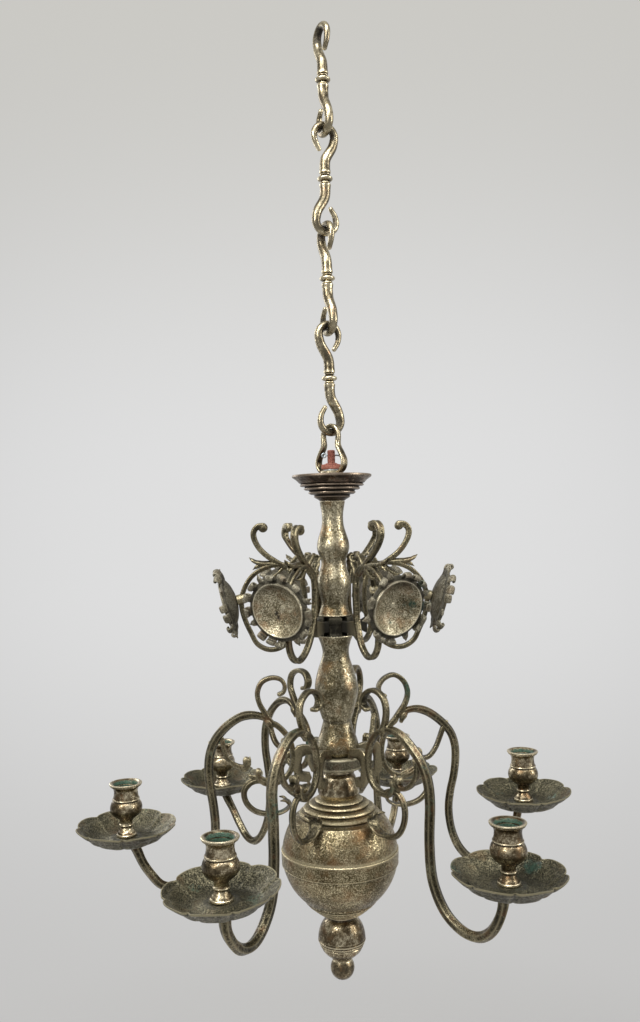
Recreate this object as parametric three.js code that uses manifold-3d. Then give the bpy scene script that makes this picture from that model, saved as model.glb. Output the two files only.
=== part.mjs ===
// A hanging brass chandelier with a turned baluster stem. Six scrolled arms carry candle sockets
// over lobed drip pans, six scrolled brackets carry round reflectors, and four turned hook links
// and a stirrup shackle hang it all. Millimetres, +Z up. The origin is the point where the top
// link's hook bears on what holds it up, and the chain and the stem hang straight down from it.

import * as THREE from 'three';
import { mergeVertices } from 'three/addons/utils/BufferGeometryUtils.js';
import Module from 'manifold-3d';

const wasm = await Module();
wasm.setup();

// Gap between pieces that seat on each other, and the wider one where a piece turns in another
const fit = 0.3;
const turningFit = 0.7;

// Chain of hook links
const linkCount = 4;
const linkPitch = 116;        // from one bearing point to the next
const linkTurn = 20;          // degrees from +X to the plane of the second and fourth links
const hookBend = 13;          // radius of a hook's centre line
const hookBar = 4.6;          // bar radius at a hook's crown
const hookTip = 2.8;          // bar radius at a hook's tip
const shankRadius = 5.4;
const collarRadius = 9;       // turned bead at the middle of a link
const collarHeight = 6;
const collarGroove = 3;       // plain neck on each side of the bead
const shankEndRadius = 6.5;   // flare of the shank where it meets the neck

// Stirrup shackle
const shackleTurn = 70;       // degrees between the shackle and the last link
const shackleDrop = 53;       // from its bearing point to the underside of its foot
const shackleHalfWidth = 20;  // outside, at the widest
const shackleNeck = 11.5;     // radius of the centre line of its eye
const shackleBar = 2.7;       // half thickness of the bar in its eye
const strapThickness = 3.6;
const strapWidth = 9;

// Tie rod and what holds it in the shackle
const rodRadius = 4.7;
const rodStub = 15;           // how far the rod stands above the bar nut
const nutLength = 23;
const nutWidth = 10.5;
const nutHeight = 7;
const washerRadius = 8;
const washerHeight = 1.6;
const splitPinRadius = 1.2;
const splitPinTail = 11;      // reach of the split pin from the rod's axis
const splitPinRise = 9;       // height of the split pin above the bar nut

// Heights of the turned pieces of the stem, from the top down
const dishHeight = 30.8;
const upperBalusterHeight = 132;
const bracketPlateHeight = 22;
const middleBalusterHeight = 137.4;
const armPlateHeight = 15;
const neckKnopHeight = 32.8;
const globeHeight = 132;
const pendantHeight = 52;
const finialHeight = 24;

// Radii of the turned pieces
const dishRadius = 46;
const dishFootRadius = 14.7;
const upperBalusterRadius = 19.5;
const middleBalusterRadius = 25;
const bracketPlateRadius = 20.5;
const armPlateRadius = 27;
const neckKnopRadius = 24;
const globeRadius = 66.4;
const globeWall = 3.2;
const globeMouthRadius = 19;
const seamRise = 6;           // height of the seam of the two halves above the globe's middle
const seamBand = 16;          // height of the raised band under the seam
const seamLip = 1.1;          // how far the band stands proud
const pendantRadius = 27;
const finialRadius = 13.7;

// Candle arms. They were bent and slotted in by hand, so each has its own reach from the axis to
// the candle, its own turn in degrees from an even share of the circle, and its own lift of the
// pan from the usual height.
const armFits = [
  { reach: 225, turn: 3.5, lift: 8 },
  { reach: 240, turn: 2, lift: -13 },
  { reach: 240, turn: 3, lift: -7 },
  { reach: 240, turn: 0, lift: 0 },
  { reach: 240, turn: -5, lift: 0 },
  { reach: 245, turn: 2.5, lift: 0 },
];
const armCount = armFits.length;
const rimDrop = 57;           // from the middle of the arm plate down to a pan's rim, without its lift
const archRise = 56.5;        // top of the arch above the middle of the arm plate
const legInset = 94;          // from the candle back to the outer leg of the arch
const rootReach = 77;         // from the axis to where the arch starts
const bendDrop = 132;         // lowest point of an arm's bend below the arm plate, without its lift
const armBar = 5.8;           // half width of the arm's rod
const scrollThick = 2.6;      // half thickness of a scroll
const scrollWide = 4.4;       // half width of a scroll
const tongueThickness = 7;
const armHoleInner = 20.6;     // from the axis to the inner side of an arm's hole in the plate
const armHoleOuter = 24.4;
const hookStandOut = 1.5;     // how far an arm's hook stands out under the plate
const curveGrid = 10;         // the curves of the arms and brackets are drawn on this grid
const studRadius = 3;
const studHeight = 9;         // how far the stud stands above the arm's seat
const seatRadius = 14;        // round seat at the arm's end, under the pan
const seatHeight = 7;

// Drip pans
const panRadius = 54.7;
const panDepth = 13;          // from the rim to the raised floor under the socket
const panHollow = 16;         // from the rim to the deepest ring of the pan
const panWall = 2.5;
const panLobes = 8;
const panNotch = 3.4;         // depth of the notch between two lobes
const panSeatRadius = 15;     // raised floor that the socket stands on

// Candle sockets
const socketRise = 46;        // from the pan's rim to the socket's rim
const socketRimRadius = 18.1;
const socketBulbRadius = 17.6;
const socketFootRadius = 11;
const candleRadius = 11;      // bore for the candle
const candleDepth = 28;

// Reflector brackets and reflectors
const bracketTurn = -6;       // degrees from each arm to the bracket above it
const bracketStem = 42;       // from the axis to the inner side of the bracket's ring
const bracketReach = 107.5;   // from the axis to the outer side of the ring
const bracketRise = 68;       // top of the ring above the middle of the bracket plate
const bracketDrop = 27;       // bottom of the ring below it
const bracketBar = 3.6;       // half width of the bracket's bar
const bracketSlotDepth = 8;
const padRadius = 6;
const padHalfHeight = 5;
const pinRadius = 2.3;
const reflectorTilt = 15;     // degrees that a reflector looks down
const bowlRadius = 29;
const bowlDepth = 11;
const petalReach = 43;        // from a reflector's middle to its petal tips
const petalCount = 12;
const reflectorWall = 2.2;

// Where the stacked pieces stand
const shackleBearing = -linkCount * linkPitch;
const dishTop = shackleBearing - shackleDrop - fit;
const upperBalusterTop = dishTop - dishHeight;
const bracketPlateTop = upperBalusterTop - upperBalusterHeight;
const middleBalusterTop = bracketPlateTop - bracketPlateHeight;
const armPlateTop = middleBalusterTop - middleBalusterHeight;
const neckKnopTop = armPlateTop - armPlateHeight;
const globeTop = neckKnopTop - neckKnopHeight;
const pendantTop = globeTop - globeHeight;
const finialTop = pendantTop - pendantHeight;
const armPlateMiddle = armPlateTop - armPlateHeight / 2;
const bracketPlateMiddle = bracketPlateTop - bracketPlateHeight / 2;
const boreRadius = rodRadius + fit;

const radians = THREE.MathUtils.degToRad;
const armTurns = armFits.map(({ turn }, i) => (360 * i) / armCount + turn);
const bracketTurns = armFits.map((_, i) => (360 * i) / armCount + bracketTurn);

// Helpers: closed solids, joins and cuts

function plain(geometry) {
  const bare = geometry.clone();
  bare.deleteAttribute('normal');
  bare.deleteAttribute('uv');
  return mergeVertices(bare, 1e-4);
}

function volumeOf(geometry) {
  const place = geometry.getAttribute('position');
  const index = geometry.getIndex();
  const a = new THREE.Vector3();
  const b = new THREE.Vector3();
  const c = new THREE.Vector3();
  let sum = 0;
  for (let i = 0; i < index.count; i += 3) {
    a.fromBufferAttribute(place, index.getX(i));
    b.fromBufferAttribute(place, index.getX(i + 1));
    c.fromBufferAttribute(place, index.getX(i + 2));
    sum += a.dot(b.cross(c)) / 6;
  }
  return sum;
}

// Merges the vertices, drops triangles of no area and turns the faces outward
function closed(geometry) {
  const merged = plain(geometry);
  const source = merged.getIndex().array;
  const kept = [];
  for (let i = 0; i < source.length; i += 3) {
    const [a, b, c] = [source[i], source[i + 1], source[i + 2]];
    if (a !== b && b !== c && c !== a) {
      kept.push(a, b, c);
    }
  }
  merged.setIndex(kept);
  if (volumeOf(merged) < 0) {
    for (let i = 0; i < kept.length; i += 3) {
      [kept[i + 1], kept[i + 2]] = [kept[i + 2], kept[i + 1]];
    }
    merged.setIndex(kept);
  }
  return merged;
}

function toSolid(geometry) {
  const ready = closed(geometry);
  const vertProperties = new Float32Array(ready.getAttribute('position').array);
  const triVerts = new Uint32Array(ready.getIndex().array);
  return new wasm.Manifold(new wasm.Mesh({ numProp: 3, vertProperties, triVerts }));
}

function toGeometry(solid) {
  const mesh = solid.getMesh();
  const geometry = new THREE.BufferGeometry();
  geometry.setAttribute('position', new THREE.Float32BufferAttribute(mesh.vertProperties, 3));
  geometry.setIndex(Array.from(mesh.triVerts));
  return geometry;
}

function joined(...geometries) {
  return toGeometry(geometries.map(toSolid).reduce((sum, next) => sum.add(next)));
}

function cutBy(geometry, ...tools) {
  return toGeometry(tools.map(toSolid).reduce((left, tool) => left.subtract(tool), toSolid(geometry)));
}

// Turns a profile of [radius, height] points about Z. It starts and ends on the axis, or is closed.
function turned(profile, sides) {
  const points = profile.map(([radius, height]) => new THREE.Vector2(radius, height));
  return closed(new THREE.LatheGeometry(points, sides).rotateX(Math.PI / 2));
}

// A turned piece with the tie rod's bore through it
function turnedOverRod(outline, sides) {
  const top = outline[0][1];
  const bottom = outline[outline.length - 1][1];
  return turned([[boreRadius, top], ...outline, [boreRadius, bottom], [boreRadius, top]], sides);
}

function smooth(points, steps) {
  const curve = new THREE.CatmullRomCurve3(points.map(([x, z]) => new THREE.Vector3(x, 0, z)));
  return curve.getPoints(steps).map((point) => [point.x, point.z]);
}

function arc(x, z, radius, from, to, steps) {
  const points = [];
  for (let i = 0; i <= steps; i += 1) {
    const angle = radians(from + ((to - from) * i) / steps);
    points.push([x + radius * Math.cos(angle), z + radius * Math.sin(angle)]);
  }
  return points;
}

// Reads a list of [share of the length, half thickness, half width] rows at one place
function sizeAt(sizes, share) {
  const next = sizes.findIndex((row) => row[0] >= share);
  if (next <= 0) {
    return sizes[0].slice(1);
  }
  const [before, after] = [sizes[next - 1], sizes[next]];
  const blend = (share - before[0]) / (after[0] - before[0]);
  return [1, 2].map((column) => before[column] + (after[column] - before[column]) * blend);
}

// A closed bar along a flat path of [x, z] stations in the XZ plane. Its section has so many
// sides round an oval, with the half thickness in that plane and the half width across it from
// sizes, so four sides make a flat ribbon.
function bar(path, sizes, sides) {
  const reach = [0];
  for (let i = 1; i < path.length; i += 1) {
    const step = Math.hypot(path[i][0] - path[i - 1][0], path[i][1] - path[i - 1][1]);
    reach.push(reach[i - 1] + step);
  }
  const length = reach[reach.length - 1];
  const rows = path.map((place, i) => [...place, ...sizeAt(sizes, Math.min(reach[i] / length, 1))]);
  return stationBar(rows, sides);
}

// The same bar from rows of [x, z, half thickness, half width]. A row without a width is round.
// Round bars have a corner of their section on the side where a hook bears.
function stationBar(rows, sides) {
  const isRibbon = sides === 4;
  const corner = isRibbon ? Math.SQRT2 : 1;
  const places = [];
  for (let i = 0; i < rows.length; i += 1) {
    const [x, z, thick, wide = thick] = rows[i];
    const before = rows[Math.max(i - 1, 0)];
    const after = rows[Math.min(i + 1, rows.length - 1)];
    const run = Math.hypot(after[0] - before[0], after[1] - before[1]);
    const normal = [-(after[1] - before[1]) / run, (after[0] - before[0]) / run];
    for (let k = 0; k < sides; k += 1) {
      const angle = (2 * Math.PI * (isRibbon ? k + 0.5 : k)) / sides;
      const side = thick * corner * Math.cos(angle);
      const across = wide * corner * Math.sin(angle);
      places.push(x + normal[0] * side, across, z + normal[1] * side);
    }
  }
  const faces = [];
  for (let i = 0; i < rows.length - 1; i += 1) {
    for (let k = 0; k < sides; k += 1) {
      const a = i * sides + k;
      const b = i * sides + ((k + 1) % sides);
      faces.push(a, b, b + sides, a, b + sides, a + sides);
    }
  }
  const last = (rows.length - 1) * sides;
  for (let k = 1; k < sides - 1; k += 1) {
    faces.push(0, k + 1, k, last, last + k, last + k + 1);
  }
  const geometry = new THREE.BufferGeometry();
  geometry.setAttribute('position', new THREE.Float32BufferAttribute(places, 3));
  geometry.setIndex(faces);
  return closed(geometry);
}

// A closed skin through rings of [x, y, z] places, each to the next. A ring has as many places as
// its neighbour or a whole multiple of them, and a ring of one place ends the skin.
function skin(rings, goesRound) {
  const starts = [];
  const places = [];
  for (const ring of rings) {
    starts.push(places.length / 3);
    places.push(...ring.flat());
  }
  const faces = [];
  const last = goesRound ? rings.length : rings.length - 1;
  for (let i = 0; i < last; i += 1) {
    const j = (i + 1) % rings.length;
    const most = Math.max(rings[i].length, rings[j].length);
    for (let k = 0; k < most; k += 1) {
      const at = (ring, step) => {
        const count = rings[ring].length;
        return starts[ring] + (Math.floor((step * count) / most) % count);
      };
      faces.push(at(i, k), at(i, k + 1), at(j, k + 1));
      faces.push(at(i, k), at(j, k + 1), at(j, k));
    }
  }
  const geometry = new THREE.BufferGeometry();
  geometry.setAttribute('position', new THREE.Float32BufferAttribute(places, 3));
  geometry.setIndex(faces);
  return closed(geometry);
}

// A ring of places about Z. The radius and the height may change with the number of the place.
function ring(count, radiusAt, heightAt) {
  const places = [];
  for (let k = 0; k < count; k += 1) {
    const angle = (2 * Math.PI * k) / count;
    places.push([radiusAt(k) * Math.cos(angle), radiusAt(k) * Math.sin(angle), heightAt(k)]);
  }
  return places;
}

// A flat plate cut to an outline of [x, z] points, centred on the XZ plane
function upright(outline, thickness) {
  const shape = new THREE.Shape(outline.map(([x, z]) => new THREE.Vector2(x, z)));
  const geometry = new THREE.ExtrudeGeometry(shape, { depth: thickness, bevelEnabled: false });
  return closed(geometry.rotateX(Math.PI / 2).translate(0, thickness / 2, 0));
}

function box(width, depth, height, x, y, z) {
  return closed(new THREE.BoxGeometry(width, depth, height).translate(x, y, z));
}

function rodAlongZ(radius, low, high, sides) {
  return turned([[0, low], [radius, low], [radius, high], [0, high]], sides);
}

// Chain link: an S of two hooks with a turned bead between them, drawn about its middle

function hookStations() {
  const crown = linkPitch / 2 + fit / 2 + hookBar;
  const middle = crown - hookBend;
  const leg = [
    [-hookBend * 0.1, middle - hookBend * 2.1],
    [-hookBend * 0.8, middle - hookBend * 0.85],
  ];
  const round = arc(0, middle, hookBend, 180, 0, 6);
  const tip = [
    [hookBend * 0.9, middle - hookBend * 0.55],
    [hookBend * 0.5, middle - hookBend * 1.2],
  ];
  return [...leg, ...round, ...tip];
}

// Each row gives a station of half a link, from the middle of its bead to the hook's tip
function linkGeometry() {
  const neck = collarHeight / 2 + collarGroove;
  const shank = [
    [0, collarHeight / 4, collarRadius],
    [0, collarHeight / 2, collarRadius * 0.65],
    [0, collarHeight / 2 + 0.4, shankRadius * 0.85],
    [0, neck, shankRadius * 0.85],
    [0, neck + 0.4, shankEndRadius],
    [0, neck + collarHeight, shankRadius],
  ];
  const hook = hookStations();
  const taper = hook.map(([x, z], i) => {
    const share = i / (hook.length - 1);
    const thinning = Math.min(share * 2, 1);
    const towardsTip = Math.max(share * 2 - 1, 0);
    const radius = shankRadius + (hookBar - shankRadius) * thinning;
    return [x, z, radius + (hookTip - hookBar) * towardsTip ** 1.5];
  });
  const half = [...shank, ...taper];
  const rows = [...half.map(([x, z, r]) => [-x, -z, r]).reverse(), ...half];
  return stationBar(rows, 6);
}

// Stirrup shackle, drawn about its bearing point in the XZ plane: a bent strap that narrows into
// an eye at the top, with the tie rod's hole through its flat foot

function shackleGeometry() {
  const crown = fit / 2 + shackleBar;
  const eye = crown - shackleNeck;
  const foot = -shackleDrop + strapThickness / 2;
  const wide = shackleHalfWidth - strapThickness / 2;
  const leg = smooth([
    [shackleNeck * 0.95, eye - shackleNeck],
    [wide * 0.78, (eye + foot) * 0.47],
    [wide, (eye + foot) * 0.62],
    [wide * 0.97, foot + strapThickness * 2],
    [wide * 0.72, foot + strapThickness * 0.35],
  ], 6);
  const right = [...arc(0, eye, shackleNeck, 60, 0, 2), ...leg];
  const left = right.map(([x, z]) => [-x, z]).reverse();
  const strap = bar([...left, [0, crown], ...right], [
    [0, strapThickness / 2, strapWidth / 2],
    [0.25, strapThickness / 2, strapWidth * 0.45],
    [0.38, shackleBar, shackleBar],
    [0.62, shackleBar, shackleBar],
    [0.75, strapThickness / 2, strapWidth * 0.45],
    [1, strapThickness / 2, strapWidth / 2],
  ], 6);
  const sole = box(wide * 1.6, strapWidth * 1.6, strapThickness, 0, 0, foot);
  const hole = rodAlongZ(rodRadius + turningFit, -shackleDrop - 1, foot + strapThickness, 16);
  return cutBy(joined(strap, sole), hole);
}

// Tie rod, and the bar nut, washer and split pin that hold it in the shackle

const shackleFootTop = shackleBearing - shackleDrop + strapThickness;
const washerBottom = shackleFootTop + fit;
const nutBottom = washerBottom + washerHeight + fit;
const nutTop = nutBottom + nutHeight;
const rodTop = nutTop + rodStub;
const splitPinHeight = nutTop + splitPinRise;
const rodBottom = finialTop - finialHeight * 0.4;

function tieRodGeometry() {
  const rod = rodAlongZ(rodRadius, rodBottom, rodTop, 12);
  const hole = rodAlongZ(splitPinRadius + fit, -rodRadius * 2, rodRadius * 2, 8);
  return cutBy(rod, hole.rotateY(Math.PI / 2).translate(0, 0, splitPinHeight));
}

function barNutGeometry() {
  const wing = nutLength / 2;
  const outline = [
    [-wing, 0],
    [wing, 0],
    [wing, nutHeight * 0.75],
    [nutWidth / 2, nutHeight],
    [-nutWidth / 2, nutHeight],
    [-wing, nutHeight * 0.75],
  ];
  const blank = upright(outline, nutWidth);
  return cutBy(blank, rodAlongZ(boreRadius, -1, nutHeight + 1, 12));
}

function washerGeometry() {
  const inner = rodRadius + fit;
  return turned([
    [inner, 0],
    [washerRadius, 0],
    [washerRadius, washerHeight],
    [inner, washerHeight],
    [inner, 0],
  ], 12);
}

function splitPinGeometry() {
  const path = [
    [-rodRadius - 1.5, 0],
    [rodRadius, 0],
    [splitPinTail * 0.75, 0],
    [splitPinTail, -splitPinRadius],
  ];
  const sizes = [[0, splitPinRadius, splitPinRadius], [1, splitPinRadius, splitPinRadius]];
  return bar(path, sizes, 6);
}

// Turned pieces of the stem. Each outline is [radius, height] from its own top down.

const stemSides = 12;
const globeSides = 16;
const plateSides = 16;

function dishGeometry() {
  const rim = 3.4;
  const step = dishHeight / 3;
  return turnedOverRod([
    [dishRadius, -fit],
    [dishRadius, -rim],
    [dishRadius * 0.75, -step * 1.22],
    [dishRadius * 0.69, -step * 1.22],
    [dishRadius * 0.5, -step * 2.06],
    [dishRadius * 0.45, -step * 2.06],
    [dishFootRadius, -dishHeight + 1.5],
    [dishFootRadius * 0.8, -dishHeight + fit],
  ], stemSides);
}

function upperBalusterGeometry() {
  const r = upperBalusterRadius;
  const h = upperBalusterHeight;
  const outline = smooth([
    [r * 0.75, 0],
    [r * 0.63, -h * 0.12],
    [r * 0.66, -h * 0.21],
    [r * 0.96, -h * 0.4],
    [r * 0.73, -h * 0.535],
    [r, -h * 0.71],
    [r * 0.78, -h * 0.885],
    [r * 0.95, -h],
  ], 11);
  outline[0][1] = 0;
  outline[outline.length - 1][1] = -h + fit;
  return turnedOverRod(outline, stemSides);
}

function middleBalusterGeometry() {
  const r = middleBalusterRadius;
  const h = middleBalusterHeight;
  const belly = smooth([
    [r * 0.82, 0],
    [r * 0.6, -h * 0.15],
    [r * 0.88, -h * 0.325],
    [r, -h * 0.45],
    [r * 0.82, -h * 0.61],
    [r * 0.68, -h * 0.7],
  ], 8);
  const foot = smooth([
    [r * 0.72, -h * 0.74],
    [r * 0.9, -h * 0.825],
    [r * 0.945, -h * 0.88],
    [r * 0.83, -h * 0.94],
    [r * 0.76, -h],
  ], 4);
  foot[foot.length - 1][1] = -h + fit;
  return turnedOverRod([...belly, ...foot], stemSides);
}

// A plate with a slot for a tongue at each of the given turns, from one radius to another
function slottedPlate(outline, inner, outer, height, turns) {
  const middle = (inner + outer) / 2;
  const slots = turns.map((turn) => {
    const tool = box(outer - inner, tongueThickness + 2 * fit, height * 2, middle, 0, -height / 2);
    return tool.rotateZ(radians(turn));
  });
  return cutBy(turnedOverRod(outline, plateSides), ...slots);
}

function bracketPlateGeometry() {
  const r = bracketPlateRadius;
  const h = bracketPlateHeight;
  return slottedPlate([
    [r * 0.92, 0],
    [r * 1.04, -h * 0.1],
    [r * 1.04, -h * 0.4],
    [r, -h * 0.45],
    [r, -h + fit],
  ], r - bracketSlotDepth, r + bracketSlotDepth, h, bracketTurns);
}

function armPlateGeometry() {
  const r = armPlateRadius;
  const h = armPlateHeight;
  return slottedPlate([
    [r * 0.95, 0],
    [r, -1.2],
    [r, -h + 1],
    [r * 0.96, -h + fit],
  ], armHoleInner, armHoleOuter, h, armTurns);
}

function neckKnopGeometry() {
  const r = neckKnopRadius;
  const h = neckKnopHeight;
  return turnedOverRod([
    [r * 0.7, 0],
    [r * 0.7, -h * 0.16],
    [r * 0.8, -h * 0.24],
    [r * 0.88, -h * 0.48],
    [r, -h * 0.72],
    [r * 0.98, -h * 0.86],
    [r * 0.84, -h + fit],
  ], stemSides);
}

// The globe is two thin shells that meet at a seam above its middle. Heights are from its top.

const globeMiddle = Math.sqrt(globeRadius ** 2 - globeMouthRadius ** 2);

function sphereRadiusAt(height, radius) {
  return Math.sqrt(Math.max(radius ** 2 - (height + globeMiddle) ** 2, 0));
}

function sphereHeightAt(distance, radius) {
  return Math.sqrt(radius ** 2 - distance ** 2) - globeMiddle;
}

function globeUpperGeometry() {
  const seam = seamRise - globeMiddle;
  const inside = globeRadius - globeWall;
  const shoulder = globeRadius * 0.69;
  const outline = [
    [globeMouthRadius, 0],
    [globeRadius * 0.4, -1.5],
    [globeRadius * 0.43, sphereHeightAt(globeRadius * 0.4, globeRadius)],
    [globeRadius * 0.5, sphereHeightAt(globeRadius * 0.47, globeRadius)],
    [globeRadius * 0.55, sphereHeightAt(globeRadius * 0.52, globeRadius)],
    [shoulder, sphereHeightAt(globeRadius * 0.64, globeRadius)],
    [shoulder, sphereHeightAt(shoulder, globeRadius) - 2],
  ];
  const start = Math.asin((sphereHeightAt(shoulder, globeRadius) - 2 + globeMiddle) / globeRadius);
  const end = Math.asin(seamRise / globeRadius);
  for (let i = 0; i <= 2; i += 1) {
    const angle = start + ((end - start) * i) / 2;
    outline.push([globeRadius * Math.cos(angle), globeRadius * Math.sin(angle) - globeMiddle]);
  }
  const inner = [];
  for (let i = 0; i <= 2; i += 1) {
    const height = seam + ((sphereHeightAt(boreRadius, inside) - seam) * i) / 2;
    inner.push([sphereRadiusAt(height, inside), height]);
  }
  inner[inner.length - 1][0] = boreRadius;
  return turned([[boreRadius, 0], ...outline, ...inner, [boreRadius, 0]], globeSides);
}

function globeLowerGeometry() {
  const seam = seamRise - globeMiddle - fit;
  const bandEnd = seam - seamBand;
  const inside = globeRadius - globeWall;
  const bottom = -globeHeight + fit;
  const proud = globeRadius + seamLip;
  const outline = [
    [sphereRadiusAt(seam, proud), seam],
    [proud, -globeMiddle],
    [sphereRadiusAt(bandEnd, proud), bandEnd],
    [sphereRadiusAt(bandEnd, globeRadius), bandEnd - fit],
  ];
  const moulding = globeRadius * 0.6;
  const start = Math.asin((bandEnd - fit + globeMiddle) / globeRadius);
  const end = -Math.acos(moulding / globeRadius);
  for (let i = 1; i <= 3; i += 1) {
    const angle = start + ((end - start) * i) / 3;
    outline.push([globeRadius * Math.cos(angle), globeRadius * Math.sin(angle) - globeMiddle]);
  }
  outline.push([moulding - 2, bottom + 11]);
  outline.push([globeRadius * 0.44, bottom + 5]);
  outline.push([globeRadius * 0.4, bottom + 1.5]);
  outline.push([globeMouthRadius, bottom]);
  const floor = bottom + globeWall;
  const inner = [];
  for (let i = 0; i <= 3; i += 1) {
    const height = floor + ((seam - floor) * i) / 3;
    inner.push([sphereRadiusAt(height, inside), height]);
  }
  inner[0][0] = Math.max(inner[0][0], boreRadius + globeWall);
  return turned([[boreRadius, bottom], [boreRadius, floor], ...inner, ...outline,
    [boreRadius, bottom]], globeSides);
}

function pendantGeometry() {
  const r = pendantRadius;
  const h = pendantHeight;
  return turnedOverRod([
    [r * 0.66, 0],
    [r * 0.66, -h * 0.07],
    [r * 0.6, -h * 0.1],
    [r * 0.87, -h * 0.29],
    [r, -h * 0.5],
    [r, -h * 0.58],
    [r * 0.93, -h * 0.62],
    [r * 0.9, -h * 0.72],
    [r * 0.78, -h * 0.82],
    [r * 0.6, -h * 0.95],
    [r * 0.44, -h + fit],
  ], stemSides);
}

function finialGeometry() {
  const r = finialRadius;
  const h = finialHeight;
  const bore = finialTop - rodBottom + fit;
  const middle = -h + r * 0.97;
  const ball = arc(0, middle, r, 40, -90, 6).map(([x, z]) => [Math.max(x, 0), z]);
  ball[ball.length - 1][0] = 0;
  return turned([
    [0, -bore],
    [boreRadius, -bore],
    [boreRadius, 0],
    [r * 0.8, 0],
    [r * 0.66, -h * 0.08],
    ...ball,
  ], stemSides);
}

// Candle arm, drawn in the XZ plane with x from the chandelier's axis and z from the middle of
// the arm plate. A rod runs over the arch and through the bend to the pan, and flat scrolls
// branch from it. At its root a flat hook reaches over the plate's rim and down into a hole.

const panFloor = -rimDrop - panDepth;
const armSeat = panFloor - panWall - fit;

function armGeometry(reach, lift) {
  const g = curveGrid;
  const root = rootReach;
  const leg = reach - legInset;
  const bend = lift - bendDrop;
  const seatTop = lift + armSeat;
  const rodPath = smooth([
    [root, archRise - 0.7 * g],
    [root + 2.1 * g, archRise],
    [leg - 2.1 * g, archRise - 0.9 * g],
    [leg - 0.4 * g, archRise - 3.2 * g],
    [leg + 0.1 * g, archRise - 5.6 * g],
    [leg - 0.2 * g, lift - rimDrop],
    [leg + 0.5 * g, bend + 3.5 * g],
    [leg + 2.3 * g, bend + 0.9 * g],
    [reach - 3.9 * g, bend],
    [reach - 1.9 * g, bend + 1.3 * g],
    [reach - 0.9 * g, bend + 3.3 * g],
    [reach - 0.7 * g, seatTop - seatHeight + 0.1 * g],
  ], 17);
  const rod = bar(rodPath, [
    [0, armBar * 0.6, armBar * 0.7],
    [0.1, armBar, armBar],
    [0.94, armBar, armBar],
    [1, armBar * 1.25, armBar * 1.25],
  ], 6);
  const innerScroll = bar(smooth([
    [root - 1.9 * g, archRise + 1.4 * g],
    [root - 2.8 * g, archRise + 2.1 * g],
    [root - 2.4 * g, archRise + 3.2 * g],
    [root - 0.9 * g, archRise + 3.8 * g],
    [root + 0.8 * g, archRise + 2.7 * g],
    [root + 0.8 * g, archRise + 0.8 * g],
    [root + 0.1 * g, archRise - 0.6 * g],
    [root - 1.3 * g, archRise - 1.6 * g],
    [root - 2.6 * g, 1.8 * g],
    [root - 2.5 * g, -0.3 * g],
    [root - g, -1.9 * g],
    [root + 0.8 * g, -2 * g],
    [root + 1.7 * g, -g],
  ], 15), [
    [0, scrollThick * 0.9, scrollWide * 1.45],
    [0.2, scrollThick, scrollWide],
    [0.9, scrollThick, scrollWide],
    [1, scrollThick, scrollWide * 1.2],
  ], 4);
  const outerLoop = bar(smooth([
    [root + 0.2 * g, -2.05 * g],
    [root + 1.7 * g, -1.6 * g],
    [root + 3 * g, -2.8 * g],
    [root + 2.9 * g, -4.8 * g],
    [root + 0.8 * g, -6.55 * g],
    [root - 1.1 * g, -6.45 * g],
    [root - 2 * g, -5.3 * g],
    [root - 1.2 * g, -4.6 * g],
  ], 7), [
    [0, scrollThick, scrollWide * 0.9],
    [0.7, scrollThick, scrollWide],
    [1, scrollThick * 0.8, scrollWide * 2],
  ], 4);
  const leafScroll = bar(smooth([
    [leg - 0.9 * g, archRise - 2.2 * g],
    [leg - 1.7 * g, archRise - 3.8 * g],
    [leg - 2.4 * g, archRise - 5.3 * g],
    [leg - 3.8 * g, archRise - 6 * g],
    [leg - 4.6 * g, archRise - 5.2 * g],
  ], 4), [
    [0, scrollThick, scrollWide * 0.9],
    [0.8, scrollThick * 0.9, scrollWide * 0.9],
    [1, scrollThick * 0.6, scrollWide * 1.3],
  ], 4);
  const half = armPlateHeight / 2;
  const hook = upright([
    [armHoleInner + fit, half + 0.45 * g],
    [armPlateRadius, half + 0.65 * g],
    [root - 2.5 * g, half + 0.9 * g],
    [root - 2.5 * g, -half - 0.4 * g],
    [armPlateRadius + 0.7 * g, -half - 1.2 * g],
    [armPlateRadius + fit, -half - 0.8 * g],
    [armPlateRadius + fit, half + fit],
    [armHoleOuter - fit, half + fit],
    [armHoleOuter - fit, -half - hookStandOut],
    [armHoleInner + fit, -half - hookStandOut],
  ], tongueThickness);
  const seat = turned([
    [0, seatTop - seatHeight],
    [seatRadius, seatTop - seatHeight],
    [seatRadius, seatTop - seatHeight * 0.5],
    [seatRadius * 0.75, seatTop],
    [studRadius, seatTop],
    [studRadius, seatTop + studHeight],
    [0, seatTop + studHeight],
  ], panLobes);
  return joined(rod, innerScroll, outerLoop, leafScroll, hook, seat.translate(reach, 0, 0));
}

// Lobed drip pan, drawn about its own axis with z from its rim. Its floor is raised under the
// socket. Three places make each lobe of the rim, one of them in the notch.
function panGeometry() {
  const lobed = (share, height, lobe) => {
    const notchAt = (k) => (k % 3 === 0 ? panNotch * lobe : 0);
    return ring(panLobes * 3, (k) => panRadius * share - notchAt(k), (k) => height - notchAt(k) * 0.3);
  };
  const plainRing = (radius, height) => ring(panLobes, () => radius, () => height);
  return skin([
    plainRing(studRadius + fit, -panDepth),
    plainRing(panSeatRadius, -panDepth),
    lobed(0.6, -panHollow, 0.2),
    lobed(1, 0, 1),
    lobed(0.995, -panWall * 0.8, 1),
    lobed(0.62, -panHollow - panWall, 0.2),
    plainRing(panSeatRadius, -panDepth - panWall),
    plainRing(studRadius + fit, -panDepth - panWall),
  ], true);
}

// Candle socket, drawn about its own axis with z from its foot
const socketHeight = socketRise + panDepth - fit;
const socketSides = 8;

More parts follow.
